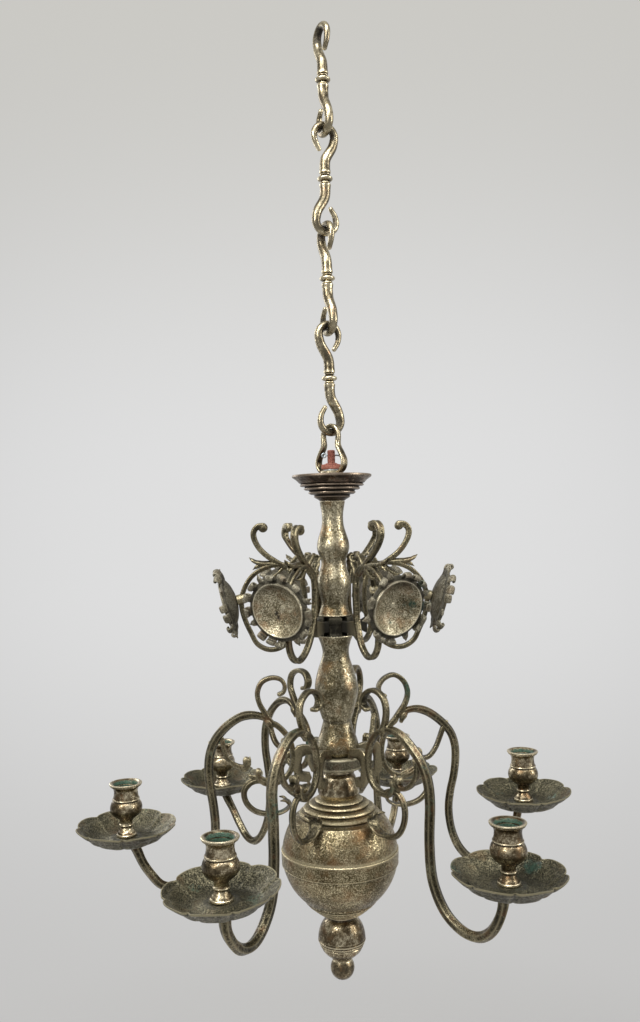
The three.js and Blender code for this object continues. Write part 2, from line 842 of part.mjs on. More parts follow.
function socketGeometry() {
  const h = socketHeight;
  const b = socketBulbRadius;
  const f = socketFootRadius;
  const floor = h - candleDepth;
  const bore = candleRadius / Math.cos(Math.PI / socketSides);
  return turned([
    [0, floor],
    [bore, floor],
    [bore, h - 3],
    [bore + 2.6, h],
    [socketRimRadius, h],
    [socketRimRadius * 0.95, h - 3],
    [b * 0.76, h * 0.86],
    [b * 0.82, h * 0.68],
    [b, h * 0.53],
    [b * 0.86, h * 0.41],
    [f * 0.7, h * 0.31],
    [f * 0.72, h * 0.21],
    [f * 0.56, h * 0.16],
    [f, h * 0.04],
    [f, 0],
    [studRadius + fit, 0],
    [studRadius + fit, studHeight],
    [0, studHeight],
  ], socketSides);
}

// Reflector bracket, drawn in the XZ plane with z from the middle of the bracket plate: a ring of
// round bar with a tongue on its inner side, a pad on its outer side and three sprigs on top

const padHeight = bracketRise * 0.48;

function placedOnPad(geometry) {
  geometry.rotateY(radians(90 + reflectorTilt));
  return geometry.translate(bracketReach, 0, padHeight);
}

function bracketGeometry() {
  const g = curveGrid;
  const s = bracketStem;
  const e = bracketReach;
  const top = bracketRise;
  const loopPath = smooth([
    [s, top * 0.5],
    [s + 0.5 * g, top * 0.85],
    [s + 1.5 * g, top * 0.98],
    [(s + e) / 2, top],
    [e - 1.5 * g, top * 0.9],
    [e - 0.3 * g, top * 0.7],
    [e, padHeight],
    [e - 0.4 * g, top * 0.15],
    [e - 1.4 * g, -bracketDrop * 0.6],
    [e - 2.8 * g, -bracketDrop],
    [s + 2.1 * g, -bracketDrop * 0.88],
    [s + 0.7 * g, -bracketDrop * 0.4],
    [s + 0.15 * g, top * 0.12],
    [s, top * 0.52],
  ], 12);
  const thick = bracketBar * 0.8;
  const loop = bar(loopPath, [[0, thick, bracketBar], [1, thick, bracketBar]], 4);
  const antenna = bar(smooth([
    [s + 1.6 * g, top * 0.98],
    [s + 3.3 * g, top * 1.24],
    [s + 4.2 * g, top * 1.46],
    [s + 4.1 * g, top * 1.62],
    [s + 3.3 * g, top * 1.69],
  ], 5), [[0, thick, bracketBar * 0.9], [0.8, thick, bracketBar], [1, thick, bracketBar]], 4);
  const knobRadius = bracketBar * 1.5;
  const knob = new THREE.SphereGeometry(knobRadius, 6, 3);
  knob.translate(s + 3 * g, 0, top * 1.66);
  const innerLeaf = bar(smooth([
    [s + 0.5 * g, top * 0.84],
    [s + 0.1 * g, top * 1.02],
    [s - 0.4 * g, top * 1.15],
  ], 2), [[0, thick, bracketBar * 0.8], [1, thick * 0.6, bracketBar * 1.1]], 4);
  const outerLeaf = bar(smooth([
    [s + 2 * g, top],
    [s + 4 * g, top * 1.06],
    [s + 5.8 * g, top * 1.12],
  ], 2), [[0, thick, bracketBar * 0.8], [0.7, thick, bracketBar], [1, 0.5, 0.8]], 4);
  const pad = placedOnPad(rodAlongZ(padRadius, -padHalfHeight, padHalfHeight, 6));
  const slotEnd = bracketPlateRadius - bracketSlotDepth + fit;
  const tongue = box(s + 1 - slotEnd, tongueThickness, 12, (s + 1 + slotEnd) / 2, 0, 0);
  const body = joined(loop, antenna, knob, innerLeaf, outerLeaf, pad, tongue);
  const hole = placedOnPad(rodAlongZ(pinRadius + fit, -padHalfHeight * 3, padHalfHeight * 3, 6));
  return cutBy(body, hole);
}

// Reflector: a round bowl with a crown of petals and a riveted pin at its back, drawn with z
// along its own axis from the middle of the bracket's pad
function reflectorGeometry() {
  const back = padHalfHeight + fit;
  const rim = back + reflectorWall + bowlDepth;
  const plainRing = (radius, height) => ring(petalCount, () => radius, () => height);
  const crown = (radius, depth, height) => {
    return ring(petalCount * 2, (k) => radius - (k % 2) * depth, () => height);
  };
  const gap = petalReach - bowlRadius - reflectorWall * 3;
  const dish = skin([
    [[0, 0, back + reflectorWall]],
    plainRing(bowlRadius * 0.6, back + reflectorWall + bowlDepth * 0.3),
    crown(bowlRadius, 0, rim),
    crown(petalReach, gap, rim - 1),
    crown(petalReach, gap, rim - 2.6),
    plainRing(bowlRadius * 0.97, rim - reflectorWall - 2),
    plainRing(bowlRadius * 0.35, back),
    [[0, 0, back]],
  ], false);
  const pin = rodAlongZ(pinRadius, -padHalfHeight - 1.5, back + 1, 6);
  return joined(dish, pin);
}

// Materials

function metal(color, roughness, metalness) {
  return new THREE.MeshStandardMaterial({ color, roughness, metalness });
}

const chainBrass = () => metal(0xa08a5c, 0.32, 0.95);
const stemBrass = () => metal(0x8d8163, 0.38, 0.9);
const armBrass = () => metal(0x6f6c57, 0.5, 0.85);
const panBrass = () => metal(0x79775f, 0.6, 0.8);
const socketBrass = () => metal(0x76614a, 0.36, 0.9);
const darkBrass = () => metal(0x35322b, 0.55, 0.8);
const dishBronze = () => metal(0x5d4b3a, 0.5, 0.85);
const rustyIron = () => metal(0x7a3f34, 0.85, 0.4);
const greyWire = () => metal(0x7f8a92, 0.4, 0.8);

// Assembly

const chandelier = new THREE.Group();

function addPiece(parent, name, geometry, material) {
  const mesh = new THREE.Mesh(geometry, material);
  mesh.name = name;
  parent.add(mesh);
  return mesh;
}

const link = linkGeometry();
for (let i = 0; i < linkCount; i += 1) {
  const mesh = addPiece(chandelier, `chain_link_${i + 1}`, link.clone(), chainBrass());
  const quarter = i % 2 === 0 ? -90 : 0;
  const half = i === 1 ? 180 : 0;
  mesh.position.z = -(i + 0.5) * linkPitch;
  mesh.rotation.z = radians(linkTurn + quarter + half);
}

const shackle = addPiece(chandelier, 'shackle', shackleGeometry(), chainBrass());
shackle.position.z = shackleBearing;
shackle.rotation.z = radians(linkTurn - shackleTurn);

addPiece(chandelier, 'tie_rod', tieRodGeometry(), rustyIron());
addPiece(chandelier, 'bar_nut', barNutGeometry(), rustyIron()).position.z = nutBottom;
addPiece(chandelier, 'washer', washerGeometry(), greyWire()).position.z = washerBottom;
addPiece(chandelier, 'split_pin', splitPinGeometry(), greyWire()).position.z = splitPinHeight;

addPiece(chandelier, 'top_dish', dishGeometry(), dishBronze()).position.z = dishTop;
addPiece(chandelier, 'upper_baluster', upperBalusterGeometry(), stemBrass()).position.z = upperBalusterTop;
addPiece(chandelier, 'bracket_plate', bracketPlateGeometry(), darkBrass()).position.z = bracketPlateTop;
addPiece(chandelier, 'middle_baluster', middleBalusterGeometry(), stemBrass())
  .position.z = middleBalusterTop;
addPiece(chandelier, 'arm_plate', armPlateGeometry(), darkBrass()).position.z = armPlateTop;
addPiece(chandelier, 'neck_knop', neckKnopGeometry(), socketBrass()).position.z = neckKnopTop;
addPiece(chandelier, 'globe_upper_half', globeUpperGeometry(), stemBrass()).position.z = globeTop;
addPiece(chandelier, 'globe_lower_half', globeLowerGeometry(), stemBrass()).position.z = globeTop;
addPiece(chandelier, 'pendant_knop', pendantGeometry(), socketBrass()).position.z = pendantTop;
addPiece(chandelier, 'finial', finialGeometry(), socketBrass()).position.z = finialTop;

const panShape = panGeometry();
const socketShape = socketGeometry();
const bracketShape = bracketGeometry();
const reflectorShape = placedOnPad(reflectorGeometry());

function addSpoke(height, turn) {
  const spoke = new THREE.Group();
  spoke.position.z = height;
  spoke.rotation.z = radians(turn);
  chandelier.add(spoke);
  return spoke;
}

for (let i = 0; i < armCount; i += 1) {
  const number = i + 1;
  const { reach, lift } = armFits[i];
  const spoke = addSpoke(armPlateMiddle, armTurns[i]);
  addPiece(spoke, `arm_${number}`, armGeometry(reach, lift), armBrass());
  const pan = addPiece(spoke, `drip_pan_${number}`, panShape.clone(), panBrass());
  pan.position.set(reach, 0, lift - rimDrop);
  const socket = addPiece(spoke, `candle_socket_${number}`, socketShape.clone(), socketBrass());
  socket.position.set(reach, 0, lift + panFloor + fit);

  const upperSpoke = addSpoke(bracketPlateMiddle, bracketTurns[i]);
  addPiece(upperSpoke, `reflector_bracket_${number}`, bracketShape.clone(), armBrass());
  addPiece(upperSpoke, `reflector_${number}`, reflectorShape.clone(), panBrass());
}

export default chandelier;
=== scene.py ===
# A hanging brass chandelier: hook links, a turned stem, six scrolled candle arms and six reflector
# brackets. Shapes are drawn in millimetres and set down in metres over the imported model.
import math
import random

import bmesh
import bpy
from mathutils import Matrix, Vector, noise


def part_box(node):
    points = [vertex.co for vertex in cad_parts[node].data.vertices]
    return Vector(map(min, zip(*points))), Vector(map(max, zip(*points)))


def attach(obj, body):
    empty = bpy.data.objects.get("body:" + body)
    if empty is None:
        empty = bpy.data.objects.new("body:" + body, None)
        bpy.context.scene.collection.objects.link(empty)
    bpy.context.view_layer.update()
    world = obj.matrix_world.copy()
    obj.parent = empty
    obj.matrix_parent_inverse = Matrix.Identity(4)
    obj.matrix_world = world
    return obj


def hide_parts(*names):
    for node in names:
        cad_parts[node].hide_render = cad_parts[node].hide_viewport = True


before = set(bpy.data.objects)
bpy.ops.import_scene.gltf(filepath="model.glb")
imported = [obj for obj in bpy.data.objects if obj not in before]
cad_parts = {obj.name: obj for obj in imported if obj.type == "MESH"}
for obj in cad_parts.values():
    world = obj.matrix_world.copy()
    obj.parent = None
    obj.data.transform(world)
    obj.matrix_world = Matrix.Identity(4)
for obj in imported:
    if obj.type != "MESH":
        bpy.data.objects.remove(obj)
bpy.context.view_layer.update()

scene = bpy.context.scene
scene.view_settings.view_transform = "Standard"
mm = 0.001
noise.seed_set(8)  # the same waver of hand work on every run, with link 4 clear of the stirrup's eye
print("frame loaded")


# Curves and solids

def through(points, perSpan):
    # a smooth line through the points, the same on every run
    pts = [Vector(p) for p in points]
    before = pts[0] * 2 - pts[1]
    after = pts[-1] * 2 - pts[-2]
    full = [before] + pts + [after]
    line = []
    for i in range(len(pts) - 1):
        p0, p1, p2, p3 = full[i:i + 4]
        d0 = max((p1 - p0).length ** 0.5, 1e-4)
        d1 = max((p2 - p1).length ** 0.5, 1e-4)
        d2 = max((p3 - p2).length ** 0.5, 1e-4)
        m1 = ((p1 - p0) / d0 - (p2 - p0) / (d0 + d1) + (p2 - p1) / d1) * d1
        m2 = ((p2 - p1) / d1 - (p3 - p1) / (d1 + d2) + (p3 - p2) / d2) * d1
        for k in range(perSpan):
            t = k / perSpan
            t2 = t * t
            t3 = t2 * t
            line.append(p1 * (2 * t3 - 3 * t2 + 1) + m1 * (t3 - 2 * t2 + t)
                        + p2 * (3 * t2 - 2 * t3) + m2 * (t3 - t2))
    line.append(pts[-1])
    return line


def reaches(line):
    # how far along the line each of its points is
    out = [0.0]
    for a, b in zip(line, line[1:]):
        out.append(out[-1] + (b - a).length)
    return out


def evenly(line, gap):
    # the same line with stations about gap apart
    reach = reaches(line)
    count = max(int(round(reach[-1] / gap)), 2)
    out = []
    j = 0
    for i in range(count + 1):
        want = reach[-1] * i / count
        while j < len(reach) - 2 and reach[j + 1] < want:
            j += 1
        span = reach[j + 1] - reach[j]
        out.append(line[j].lerp(line[j + 1], 0 if span == 0 else (want - reach[j]) / span))
    return out


def between(rows, share):
    # reads rows of (share, value, value ...) at one place, easing from row to row
    if share <= rows[0][0]:
        return rows[0][1:]
    for a, b in zip(rows, rows[1:]):
        if share <= b[0]:
            t = (share - a[0]) / max(b[0] - a[0], 1e-9)
            t = t * t * (3 - 2 * t)
            return tuple(u + (v - u) * t for u, v in zip(a[1:], b[1:]))
    return rows[-1][1:]


def bend(x, z, radius, start, end, steps):
    # an arc of places about (x, z), between two angles in degrees
    return [(x + radius * math.cos(math.radians(start + (end - start) * i / steps)), 0,
             z + radius * math.sin(math.radians(start + (end - start) * i / steps)))
            for i in range(steps + 1)]


def flat(*pairs):
    # (x, z) pairs as places in the plane that the piece is bent in
    return [(x, 0, z) for x, z in pairs]


class Form:
    # points and faces in millimetres, with two masks for the finish
    def __init__(self):
        self.points = []
        self.faces = []
        self.green = []
        self.grimeAndShade = []

    def add(self, point, green=0.0, grimeAndShade=0.0):
        self.points.append(Vector(point))
        self.green.append(green)
        self.grimeAndShade.append(grimeAndShade)
        return len(self.points) - 1

    def join(self, other, matrix=Matrix()):
        start = len(self.points)
        for point, green, grimeAndShade in zip(other.points, other.green, other.grimeAndShade):
            self.add(matrix @ point, green, grimeAndShade)
        for face in other.faces:
            self.faces.append([start + i for i in face])
        return self

    def ring(self, points):
        return [self.add(p) for p in points]

    def bridge(self, a, b):
        n = len(a)
        for k in range(n):
            self.faces.append([a[k], a[(k + 1) % n], b[(k + 1) % n], b[k]])

    def close(self, ring, turnedOver):
        tip = self.add(sum((self.points[i] for i in ring), Vector()) / len(ring))
        for k in range(len(ring)):
            corners = [ring[k], ring[(k + 1) % len(ring)], tip]
            self.faces.append(corners[::-1] if turnedOver else corners)


# Cross sections of bars and straps, as places across and along the width

def roundSection(thick, wide, count):
    return [(thick * math.cos(2 * math.pi * k / count), wide * math.sin(2 * math.pi * k / count))
            for k in range(count)]


def strapSection(thick, wide, count, power):
    # an oval that is the squarer, the higher the power
    out = []
    for k in range(count):
        c, s = math.cos(2 * math.pi * k / count), math.sin(2 * math.pi * k / count)
        out.append((thick * math.copysign(abs(c) ** (2 / power), c),
                    wide * math.copysign(abs(s) ** (2 / power), s)))
    return out


def forgedBar(thick, wide):
    # six forged flats with softened corners between them
    count, crisp = 24, 0.85
    out = []
    for k in range(count):
        angle = 2 * math.pi * k / count
        inSide = (angle + math.pi / 6) % (math.pi / 3) - math.pi / 6
        hexagon = math.cos(math.pi / 6) / math.cos(math.pi / 6 - abs(inSide))
        size = 1 + (hexagon - 1) * crisp
        out.append((thick * size * math.cos(angle), wide * size * math.sin(angle)))
    return out


def ridged(thick, wide):
    # a strap with a shallow hollow along each broad face
    out = []
    for n, a in strapSection(thick, wide, 24, 3.6):
        hollow = max(0.0, 1 - (a / (wide * 0.62)) ** 2)
        out.append((n * (1 - 0.2 * hollow * hollow), a))
    return out


def roundBar(thick, wide):
    return roundSection(thick, wide, 24)


def wire(thick, wide):
    return roundSection(thick, wide, 12)


def strap(thick, wide):
    return strapSection(thick, wide, 20, 4.0)


def softStrap(thick, wide):
    return strapSection(thick, wide, 20, 3.0)


def leafStrap(thick, wide):
    # a broad thin strap with a crease down its middle
    out = []
    for n, a in strapSection(thick, wide, 24, 3.0):
        crease = max(0.0, 1 - abs(a) / (wide * 0.5))
        out.append((n + thick * 0.5 * crease, a))
    return out


def sweep(form, line, rows, section, flatEnd=False):
    # a bar along the line; rows give (share, half thickness, half width) along it
    line = [Vector(p) for p in line]
    reach = reaches(line)
    across = Vector((0, 1, 0))
    count = len(line)
    frames = []
    for i in range(count):
        run = (line[min(i + 1, count - 1)] - line[max(i - 1, 0)]).normalized()
        side = across.cross(run).normalized() * -1
        frames.append((line[i], run, side, run.cross(side) * -1))

    def station(i, push, shrink, share):
        place, run, side, wide = frames[i]
        thick, half = between(rows, share)
        return [place + run * push + side * (n * shrink) + wide * (a * shrink)
                for n, a in section(thick, half)]

    def capSteps(share):
        depth = min(between(rows, share))
        return [(depth * math.sin(math.radians(a)), math.cos(math.radians(a)) ** 0.8)
                for a in (25, 50, 72)]

    rings = [form.ring(station(0, -push, shrink, 0)) for push, shrink in capSteps(0)[::-1]]
    for i in range(count):
        rings.append(form.ring(station(i, 0, 1, reach[i] / reach[-1])))
    if not flatEnd:
        for push, shrink in capSteps(1):
            rings.append(form.ring(station(count - 1, push, shrink, 1)))
    for a, b in zip(rings, rings[1:]):
        form.bridge(a, b)
    form.close(rings[0], True)
    form.close(rings[-1], False)
    return form


def lay(form, points, perSpan, rows, section, gap=None):
    # sweeps a bar along a smooth line through (x, z) points, with even stations where a gap is given
    line = through(flat(*points), perSpan)
    return sweep(form, evenly(line, gap) if gap else line, rows, section)


def turnUp(form, profile, steps, wobble=0.0, greenAt=None, grimeAndShadeAt=None):
    # turns (radius, height) places about the axis; a radius of 0 closes the form
    rings = []
    isLoop = profile[0] == profile[-1]
    for number, (radius, height) in enumerate(profile):
        if isLoop and number == len(profile) - 1:
            rings.append(rings[0])
            continue
        green = greenAt(height, number) if greenAt else 0.0
        grimeAndShade = grimeAndShadeAt(height, number) if grimeAndShadeAt else 0.0
        if radius < 1e-6:
            rings.append([form.add((0, 0, height), green, grimeAndShade)])
            continue
        ring = []
        for k in range(steps):
            angle = 2 * math.pi * k / steps
            x, y = math.cos(angle), math.sin(angle)
            r = radius + wobble * noise.noise(Vector((x * 1.3, y * 1.3, height * 0.07)))
            ring.append(form.add((r * x, r * y, height), green, grimeAndShade))
        rings.append(ring)
    for a, b in zip(rings, rings[1:]):
        for k in range(steps):
            after = (k + 1) % steps
            if len(a) > 1 and len(b) > 1:
                form.faces.append([b[k], b[after], a[after], a[k]])
            elif len(b) > 1:
                form.faces.append([b[k], b[after], a[0]])
            elif len(a) > 1:
                form.faces.append([b[0], a[after], a[k]])
    return form


def profileLine(*parts):
    # parts are lists of (radius, height); a part given as ("soft", n, points) is a smooth run
    out = []
    for part in parts:
        if part and part[0] == "soft":
            line = [(p.x, p.z) for p in through([(r, 0, h) for r, h in part[2]], part[1])]
        else:
            line = list(part)
        for place in line:
            if not out or math.hypot(out[-1][0] - place[0], out[-1][1] - place[1]) > 0.02:
                out.append(place)
    return out


def unevenly(form, size, depth, seed):
    # the slight waver of hand work
    shift = Vector((seed * 7.13, seed * 3.71, seed * 5.37))
    for i, point in enumerate(form.points):
        form.points[i] = point + noise.noise_vector(point / size + shift) * depth
    return form


def turned(degrees, axis):
    return Matrix.Rotation(math.radians(degrees), 4, axis)


def setDown(form, turn, x, z, tilt=Matrix()):
    # turns the form about the axis after moving it out by x, and lifts it to z
    place = Matrix.Translation((0, 0, z)) @ turned(turn, "Z")
    return Form().join(form, place @ Matrix.Translation((x, 0, 0)) @ tilt)


def makePiece(name, form, body, finish, replaced, crease=38):
    mesh = bpy.data.meshes.new(name)
    mesh.from_pydata([p * mm for p in form.points], [], form.faces)
    work = bmesh.new()
    work.from_mesh(mesh)
    bmesh.ops.recalc_face_normals(work, faces=work.faces)
    limit = math.radians(crease)
    for face in work.faces:
        face.smooth = True
    for edge in work.edges:
        if edge.is_manifold and edge.calc_face_angle(0) > limit:
            edge.smooth = False
    work.to_mesh(mesh)
    work.free()
    for label, values in (("green", form.green), ("grimeAndShade", form.grimeAndShade)):
        layer = mesh.attributes.new(label, "FLOAT", "POINT")
        layer.data.foreach_set("value", values)
    obj = bpy.data.objects.new(name, mesh)
    scene.collection.objects.link(obj)
    mesh.materials.append(finish)
    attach(obj, body)
    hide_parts(*replaced)
    return obj


def millimetres(node):
    low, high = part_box(node)
    return low * 1000, high * 1000


# Finishes. Each is one aged metal, with its own colours, spotting and shine.

finishes = {
    "chainBrass": {"low": (0.014, 0.010, 0.005), "mid": (0.105, 0.082, 0.045), "high": (0.68, 0.60, 0.42),
                   "shine": (0.16, 0.36), "metal": 0.97, "spots": 0.30, "relief": 0.35,
                   "patch": 60, "warm": (0.28, 0.13, 0.07), "warmShare": 0.2, "wear": 0.8},
    "stemBrass": {"low": (0.030, 0.024, 0.010), "mid": (0.150, 0.124, 0.069), "high": (0.76, 0.69, 0.50),
                  "shine": (0.20, 0.42), "metal": 0.88, "spots": 0.65, "relief": 0.55,
                  "patch": 28, "warm": (0.26, 0.15, 0.06), "warmShare": 0.45, "wear": 0.6},
    "globeBrass": {"low": (0.036, 0.027, 0.010), "mid": (0.142, 0.110, 0.055), "high": (0.66, 0.58, 0.38),
                   "shine": (0.24, 0.48), "metal": 0.86, "spots": 0.85, "relief": 0.6,
                   "patch": 24, "warm": (0.20, 0.105, 0.04), "warmShare": 0.7, "wear": 0.55},
    "armBrass": {"low": (0.012, 0.010, 0.005), "mid": (0.045, 0.039, 0.022), "high": (0.38, 0.33, 0.21),
                 "shine": (0.24, 0.46), "metal": 0.86, "spots": 0.6, "relief": 0.55,
                 "patch": 30, "warm": (0.13, 0.065, 0.03), "warmShare": 0.4, "wear": 0.7},
    "panBrass": {"low": (0.010, 0.010, 0.005), "mid": (0.040, 0.038, 0.022), "high": (0.30, 0.27, 0.175),
                 "shine": (0.32, 0.58), "metal": 0.8, "spots": 0.95, "relief": 0.75,
                 "patch": 20, "warm": (0.13, 0.08, 0.036), "warmShare": 0.35, "wear": 1.0},
    "bowlBrass": {"low": (0.030, 0.024, 0.010), "mid": (0.215, 0.180, 0.103), "high": (0.90, 0.84, 0.64),
                  "shine": (0.30, 0.5), "metal": 0.6, "spots": 0.75, "relief": 0.7,
                  "patch": 40, "warm": (0.30, 0.18, 0.09), "warmShare": 0.5, "wear": 0.4},
    "socketBrass": {"low": (0.024, 0.017, 0.008), "mid": (0.150, 0.114, 0.066), "high": (0.78, 0.69, 0.49),
                    "shine": (0.20, 0.38), "metal": 0.92, "spots": 0.35, "relief": 0.3,
                    "patch": 45, "warm": (0.20, 0.115, 0.055), "warmShare": 0.3, "wear": 0.7},
    "darkBrass": {"low": (0.008, 0.007, 0.005), "mid": (0.028, 0.025, 0.017), "high": (0.11, 0.10, 0.07),
                  "shine": (0.35, 0.6), "metal": 0.8, "spots": 0.6, "relief": 0.5,
                  "patch": 30, "warm": (0.05, 0.03, 0.015), "warmShare": 0.3, "wear": 0.6},
    "plateBrass": {"low": (0.030, 0.028, 0.017), "mid": (0.17, 0.152, 0.095), "high": (0.48, 0.44, 0.31),
                   "shine": (0.34, 0.58), "metal": 0.6, "spots": 0.8, "relief": 0.6,
                   "patch": 40, "warm": (0.13, 0.07, 0.035), "warmShare": 0.4, "wear": 0.9},
    "dishBronze": {"low": (0.022, 0.014, 0.009), "mid": (0.070, 0.049, 0.034), "high": (0.34, 0.275, 0.21),
                   "shine": (0.26, 0.46), "metal": 0.82, "spots": 0.35, "relief": 0.3,
                   "patch": 60, "warm": (0.13, 0.055, 0.03), "warmShare": 0.4, "wear": 0.85},
    "rustyIron": {"low": (0.10, 0.028, 0.02), "mid": (0.24, 0.07, 0.05), "high": (0.40, 0.17, 0.12),
                  "shine": (0.7, 0.9), "metal": 0.2, "spots": 0.9, "relief": 1.2,
                  "patch": 60, "warm": (0.12, 0.03, 0.02), "warmShare": 0.4, "wear": 0.5},
    "greyWire": {"low": (0.12, 0.14, 0.15), "mid": (0.26, 0.31, 0.34), "high": (0.5, 0.55, 0.58),
                 "shine": (0.3, 0.5), "metal": 0.85, "spots": 0.3, "relief": 0.3,
                 "patch": 60, "warm": (0.2, 0.18, 0.16), "warmShare": 0.2, "wear": 0.5},
}
verdigris = {"deep": (0.004, 0.018, 0.011), "pale": (0.052, 0.115, 0.072), "blue": (0.090, 0.135, 0.130)}


def finishOf(name):
    look = finishes[name]
    made = bpy.data.materials.new(name)
    made.use_nodes = True
    tree = made.node_tree
    tree.nodes.clear()
    link = tree.links.new

    def node(kind, **settings):
        n = tree.nodes.new(kind)
        for key, value in settings.items():
            setattr(n, key, value)
        return n

    def put(n, **values):
        for key, value in values.items():
            n.inputs[key].default_value = value
        return n

    place = node("ShaderNodeTexCoord").outputs["Object"]

    def cloud(scale, detail=4.0, rough=0.6, shift=0.0):
        n = put(node("ShaderNodeTexNoise"), Scale=scale, Detail=detail, Roughness=rough)
        move = node("ShaderNodeVectorMath", operation="ADD")
        move.inputs[1].default_value = (shift, -shift, shift * 0.5)
        link(place, move.inputs[0])
        link(move.outputs[0], n.inputs["Vector"])
        return n.outputs["Fac"]

    def span(source, low, high, outLow=0.0, outHigh=1.0):
        n = node("ShaderNodeMapRange", clamp=True, interpolation_type="SMOOTHSTEP")
        for socket, value in zip(n.inputs[1:5], (low, high, outLow, outHigh)):
            socket.default_value = value
        link(source, n.inputs[0])
        return n.outputs[0]

    def sums(operation, a, b):
        n = node("ShaderNodeMath", operation=operation)
        for i, value in enumerate((a, b)):
            if isinstance(value, (int, float)):
                n.inputs[i].default_value = value
            else:
                link(value, n.inputs[i])
        return n.outputs[0]

    def blend(share, a, b):
        n = node("ShaderNodeMix", data_type="RGBA")
        for i, value in ((0, share), (6, a), (7, b)):
            if isinstance(value, tuple):
                n.inputs[i].default_value = (*value, 1)
            else:
                link(value, n.inputs[i])
        return n.outputs[2]

    def maskOf(label):
        return node("ShaderNodeAttribute", attribute_name=label).outputs["Fac"]

    # patches, mottling and fine speckle, then pits, worn edges and painted shade in creases
    patches = span(cloud(look["patch"], 3.0, 0.55), 0.30, 0.70)
    mottle = span(cloud(230.0, 4.0, 0.65, 3.0), 0.32, 0.68)
    speckle = cloud(900.0, 3.0, 0.7, 6.0)
    grain = span(speckle, 0.36, 0.64)
    dots = put(node("ShaderNodeTexVoronoi", feature="F1"), Scale=560.0, Randomness=1.0)
    link(place, dots.inputs["Vector"])
    pits = span(dots.outputs["Distance"], 0.10, 0.30, 1.0, 0.0)
    pits = sums("MULTIPLY", pits, span(cloud(120.0, 2.0, 0.5, 9.0), 0.47, 0.60))
    edges = node("ShaderNodeNewGeometry").outputs["Pointiness"]
    worn = span(edges, 0.505, 0.56)
    # painted shade in creases and hollows, with the dirt that sits there too
    hollow = span(edges, 0.495, 0.44)

    # the three rows of clouds add up to about 0.5, and spots says how much of that is fine
    fine = look["spots"] * 0.75
    tone = sums("ADD", sums("MULTIPLY", patches, 0.55 - fine * 0.5),
                sums("MULTIPLY", mottle, 0.45 - fine * 0.5))
    tone = sums("ADD", tone, sums("MULTIPLY", grain, fine))
    ramp = node("ShaderNodeValToRGB")
    ramp.color_ramp.elements[0].position = 0.16
    ramp.color_ramp.elements[0].color = (*look["low"], 1)
    ramp.color_ramp.elements[1].position = 0.88
    ramp.color_ramp.elements[1].color = (*look["high"], 1)
    middle = ramp.color_ramp.elements.new(0.50)
    middle.color = (*look["mid"], 1)
    link(tone, ramp.inputs["Fac"])
    colour = ramp.outputs["Color"]
    warmth = span(cloud(look["patch"] * 1.7, 3.0, 0.6, 12.0), 0.64 - look["warmShare"] * 0.3, 0.74)
    colour = blend(sums("MULTIPLY", warmth, 0.7), colour, look["warm"])
    colour = blend(sums("MULTIPLY", worn, look["wear"]), colour, look["high"])
    # pits, painted shade in creases and the mask of grime and painted shade darken the colour
    dirtAndShade = sums("MAXIMUM", sums("MULTIPLY", hollow, 0.9), sums("MULTIPLY", pits, look["spots"]))
    dirtAndShade = sums("MAXIMUM", dirtAndShade, maskOf("grimeAndShade"))
    colour = blend(sums("MULTIPLY", dirtAndShade, 0.96), colour, tuple(v * 0.3 for v in look["low"]))
    crust = sums("ADD", maskOf("green"), sums("MULTIPLY", sums("SUBTRACT", mottle, 0.5), 0.45))
    crust = sums("MULTIPLY", span(crust, 0.30, 0.80), span(maskOf("green"), 0.02, 0.25))
    copper = blend(span(speckle, 0.38, 0.62), verdigris["deep"], verdigris["pale"])
    copper = blend(span(cloud(75.0, 2.0, 0.5, 15.0), 0.56, 0.70), copper, verdigris["blue"])
    colour = blend(crust, colour, copper)

    shell = node("ShaderNodeBsdfPrincipled")
    link(colour, shell.inputs["Base Color"])
    gloss = span(sums("ADD", sums("MULTIPLY", mottle, 0.6), sums("MULTIPLY", grain, 0.4)),
                 0.15, 0.85, look["shine"][1], look["shine"][0])
    gloss = sums("MAXIMUM", gloss, sums("MULTIPLY", sums("MAXIMUM", dirtAndShade, crust), 0.75))
    link(gloss, shell.inputs["Roughness"])
    metal = sums("MULTIPLY", sums("SUBTRACT", 1.0, sums("MAXIMUM", crust, sums("MULTIPLY", dirtAndShade, 0.6))),
                 look["metal"])
    link(metal, shell.inputs["Metallic"])

    height = sums("ADD", sums("MULTIPLY", mottle, 0.35), sums("MULTIPLY", grain, 0.22))
    height = sums("SUBTRACT", height, sums("MULTIPLY", pits, 0.8))
    height = sums("ADD", height, sums("MULTIPLY", crust, 0.5))
    relief = put(node("ShaderNodeBump"), Strength=look["relief"], Distance=0.0005)
    link(height, relief.inputs["Height"])
    link(relief.outputs["Normal"], shell.inputs["Normal"])
    link(shell.outputs[0], node("ShaderNodeOutputMaterial").inputs["Surface"])
    return made


metals = {name: finishOf(name) for name in finishes}
print("finishes ready:", len(metals))


# Chain: four hook links, each an S with a turned bead at its middle

# bendAt is the length of bar from a link's middle to its bend
chainLink = {"pitch": 116, "gap": 0.3, "bend": 13, "crownBar": 4.6, "tipBar": 2.8, "shank": 6.1,
             "bendAt": 42.5, "turns": (-70, 200, -70, 20), "waver": 0.35}
beadProfile = [(0, 9.0), (0.9, 8.8), (1.7, 8.15), (2.3, 7.3), (2.8, 6.0), (3.05, 4.8), (3.3, 4.55),
               (3.8, 4.55), (4.0, 5.3), (4.4, 5.85), (5.0, 6.0), (5.5, 5.6), (5.8, 4.85), (6.1, 4.7),
               (6.3, 5.8), (6.7, 6.7), (7.6, 6.75), (9.4, 6.4), (12, 6.1)]
beadEnd = beadProfile[-1][0]


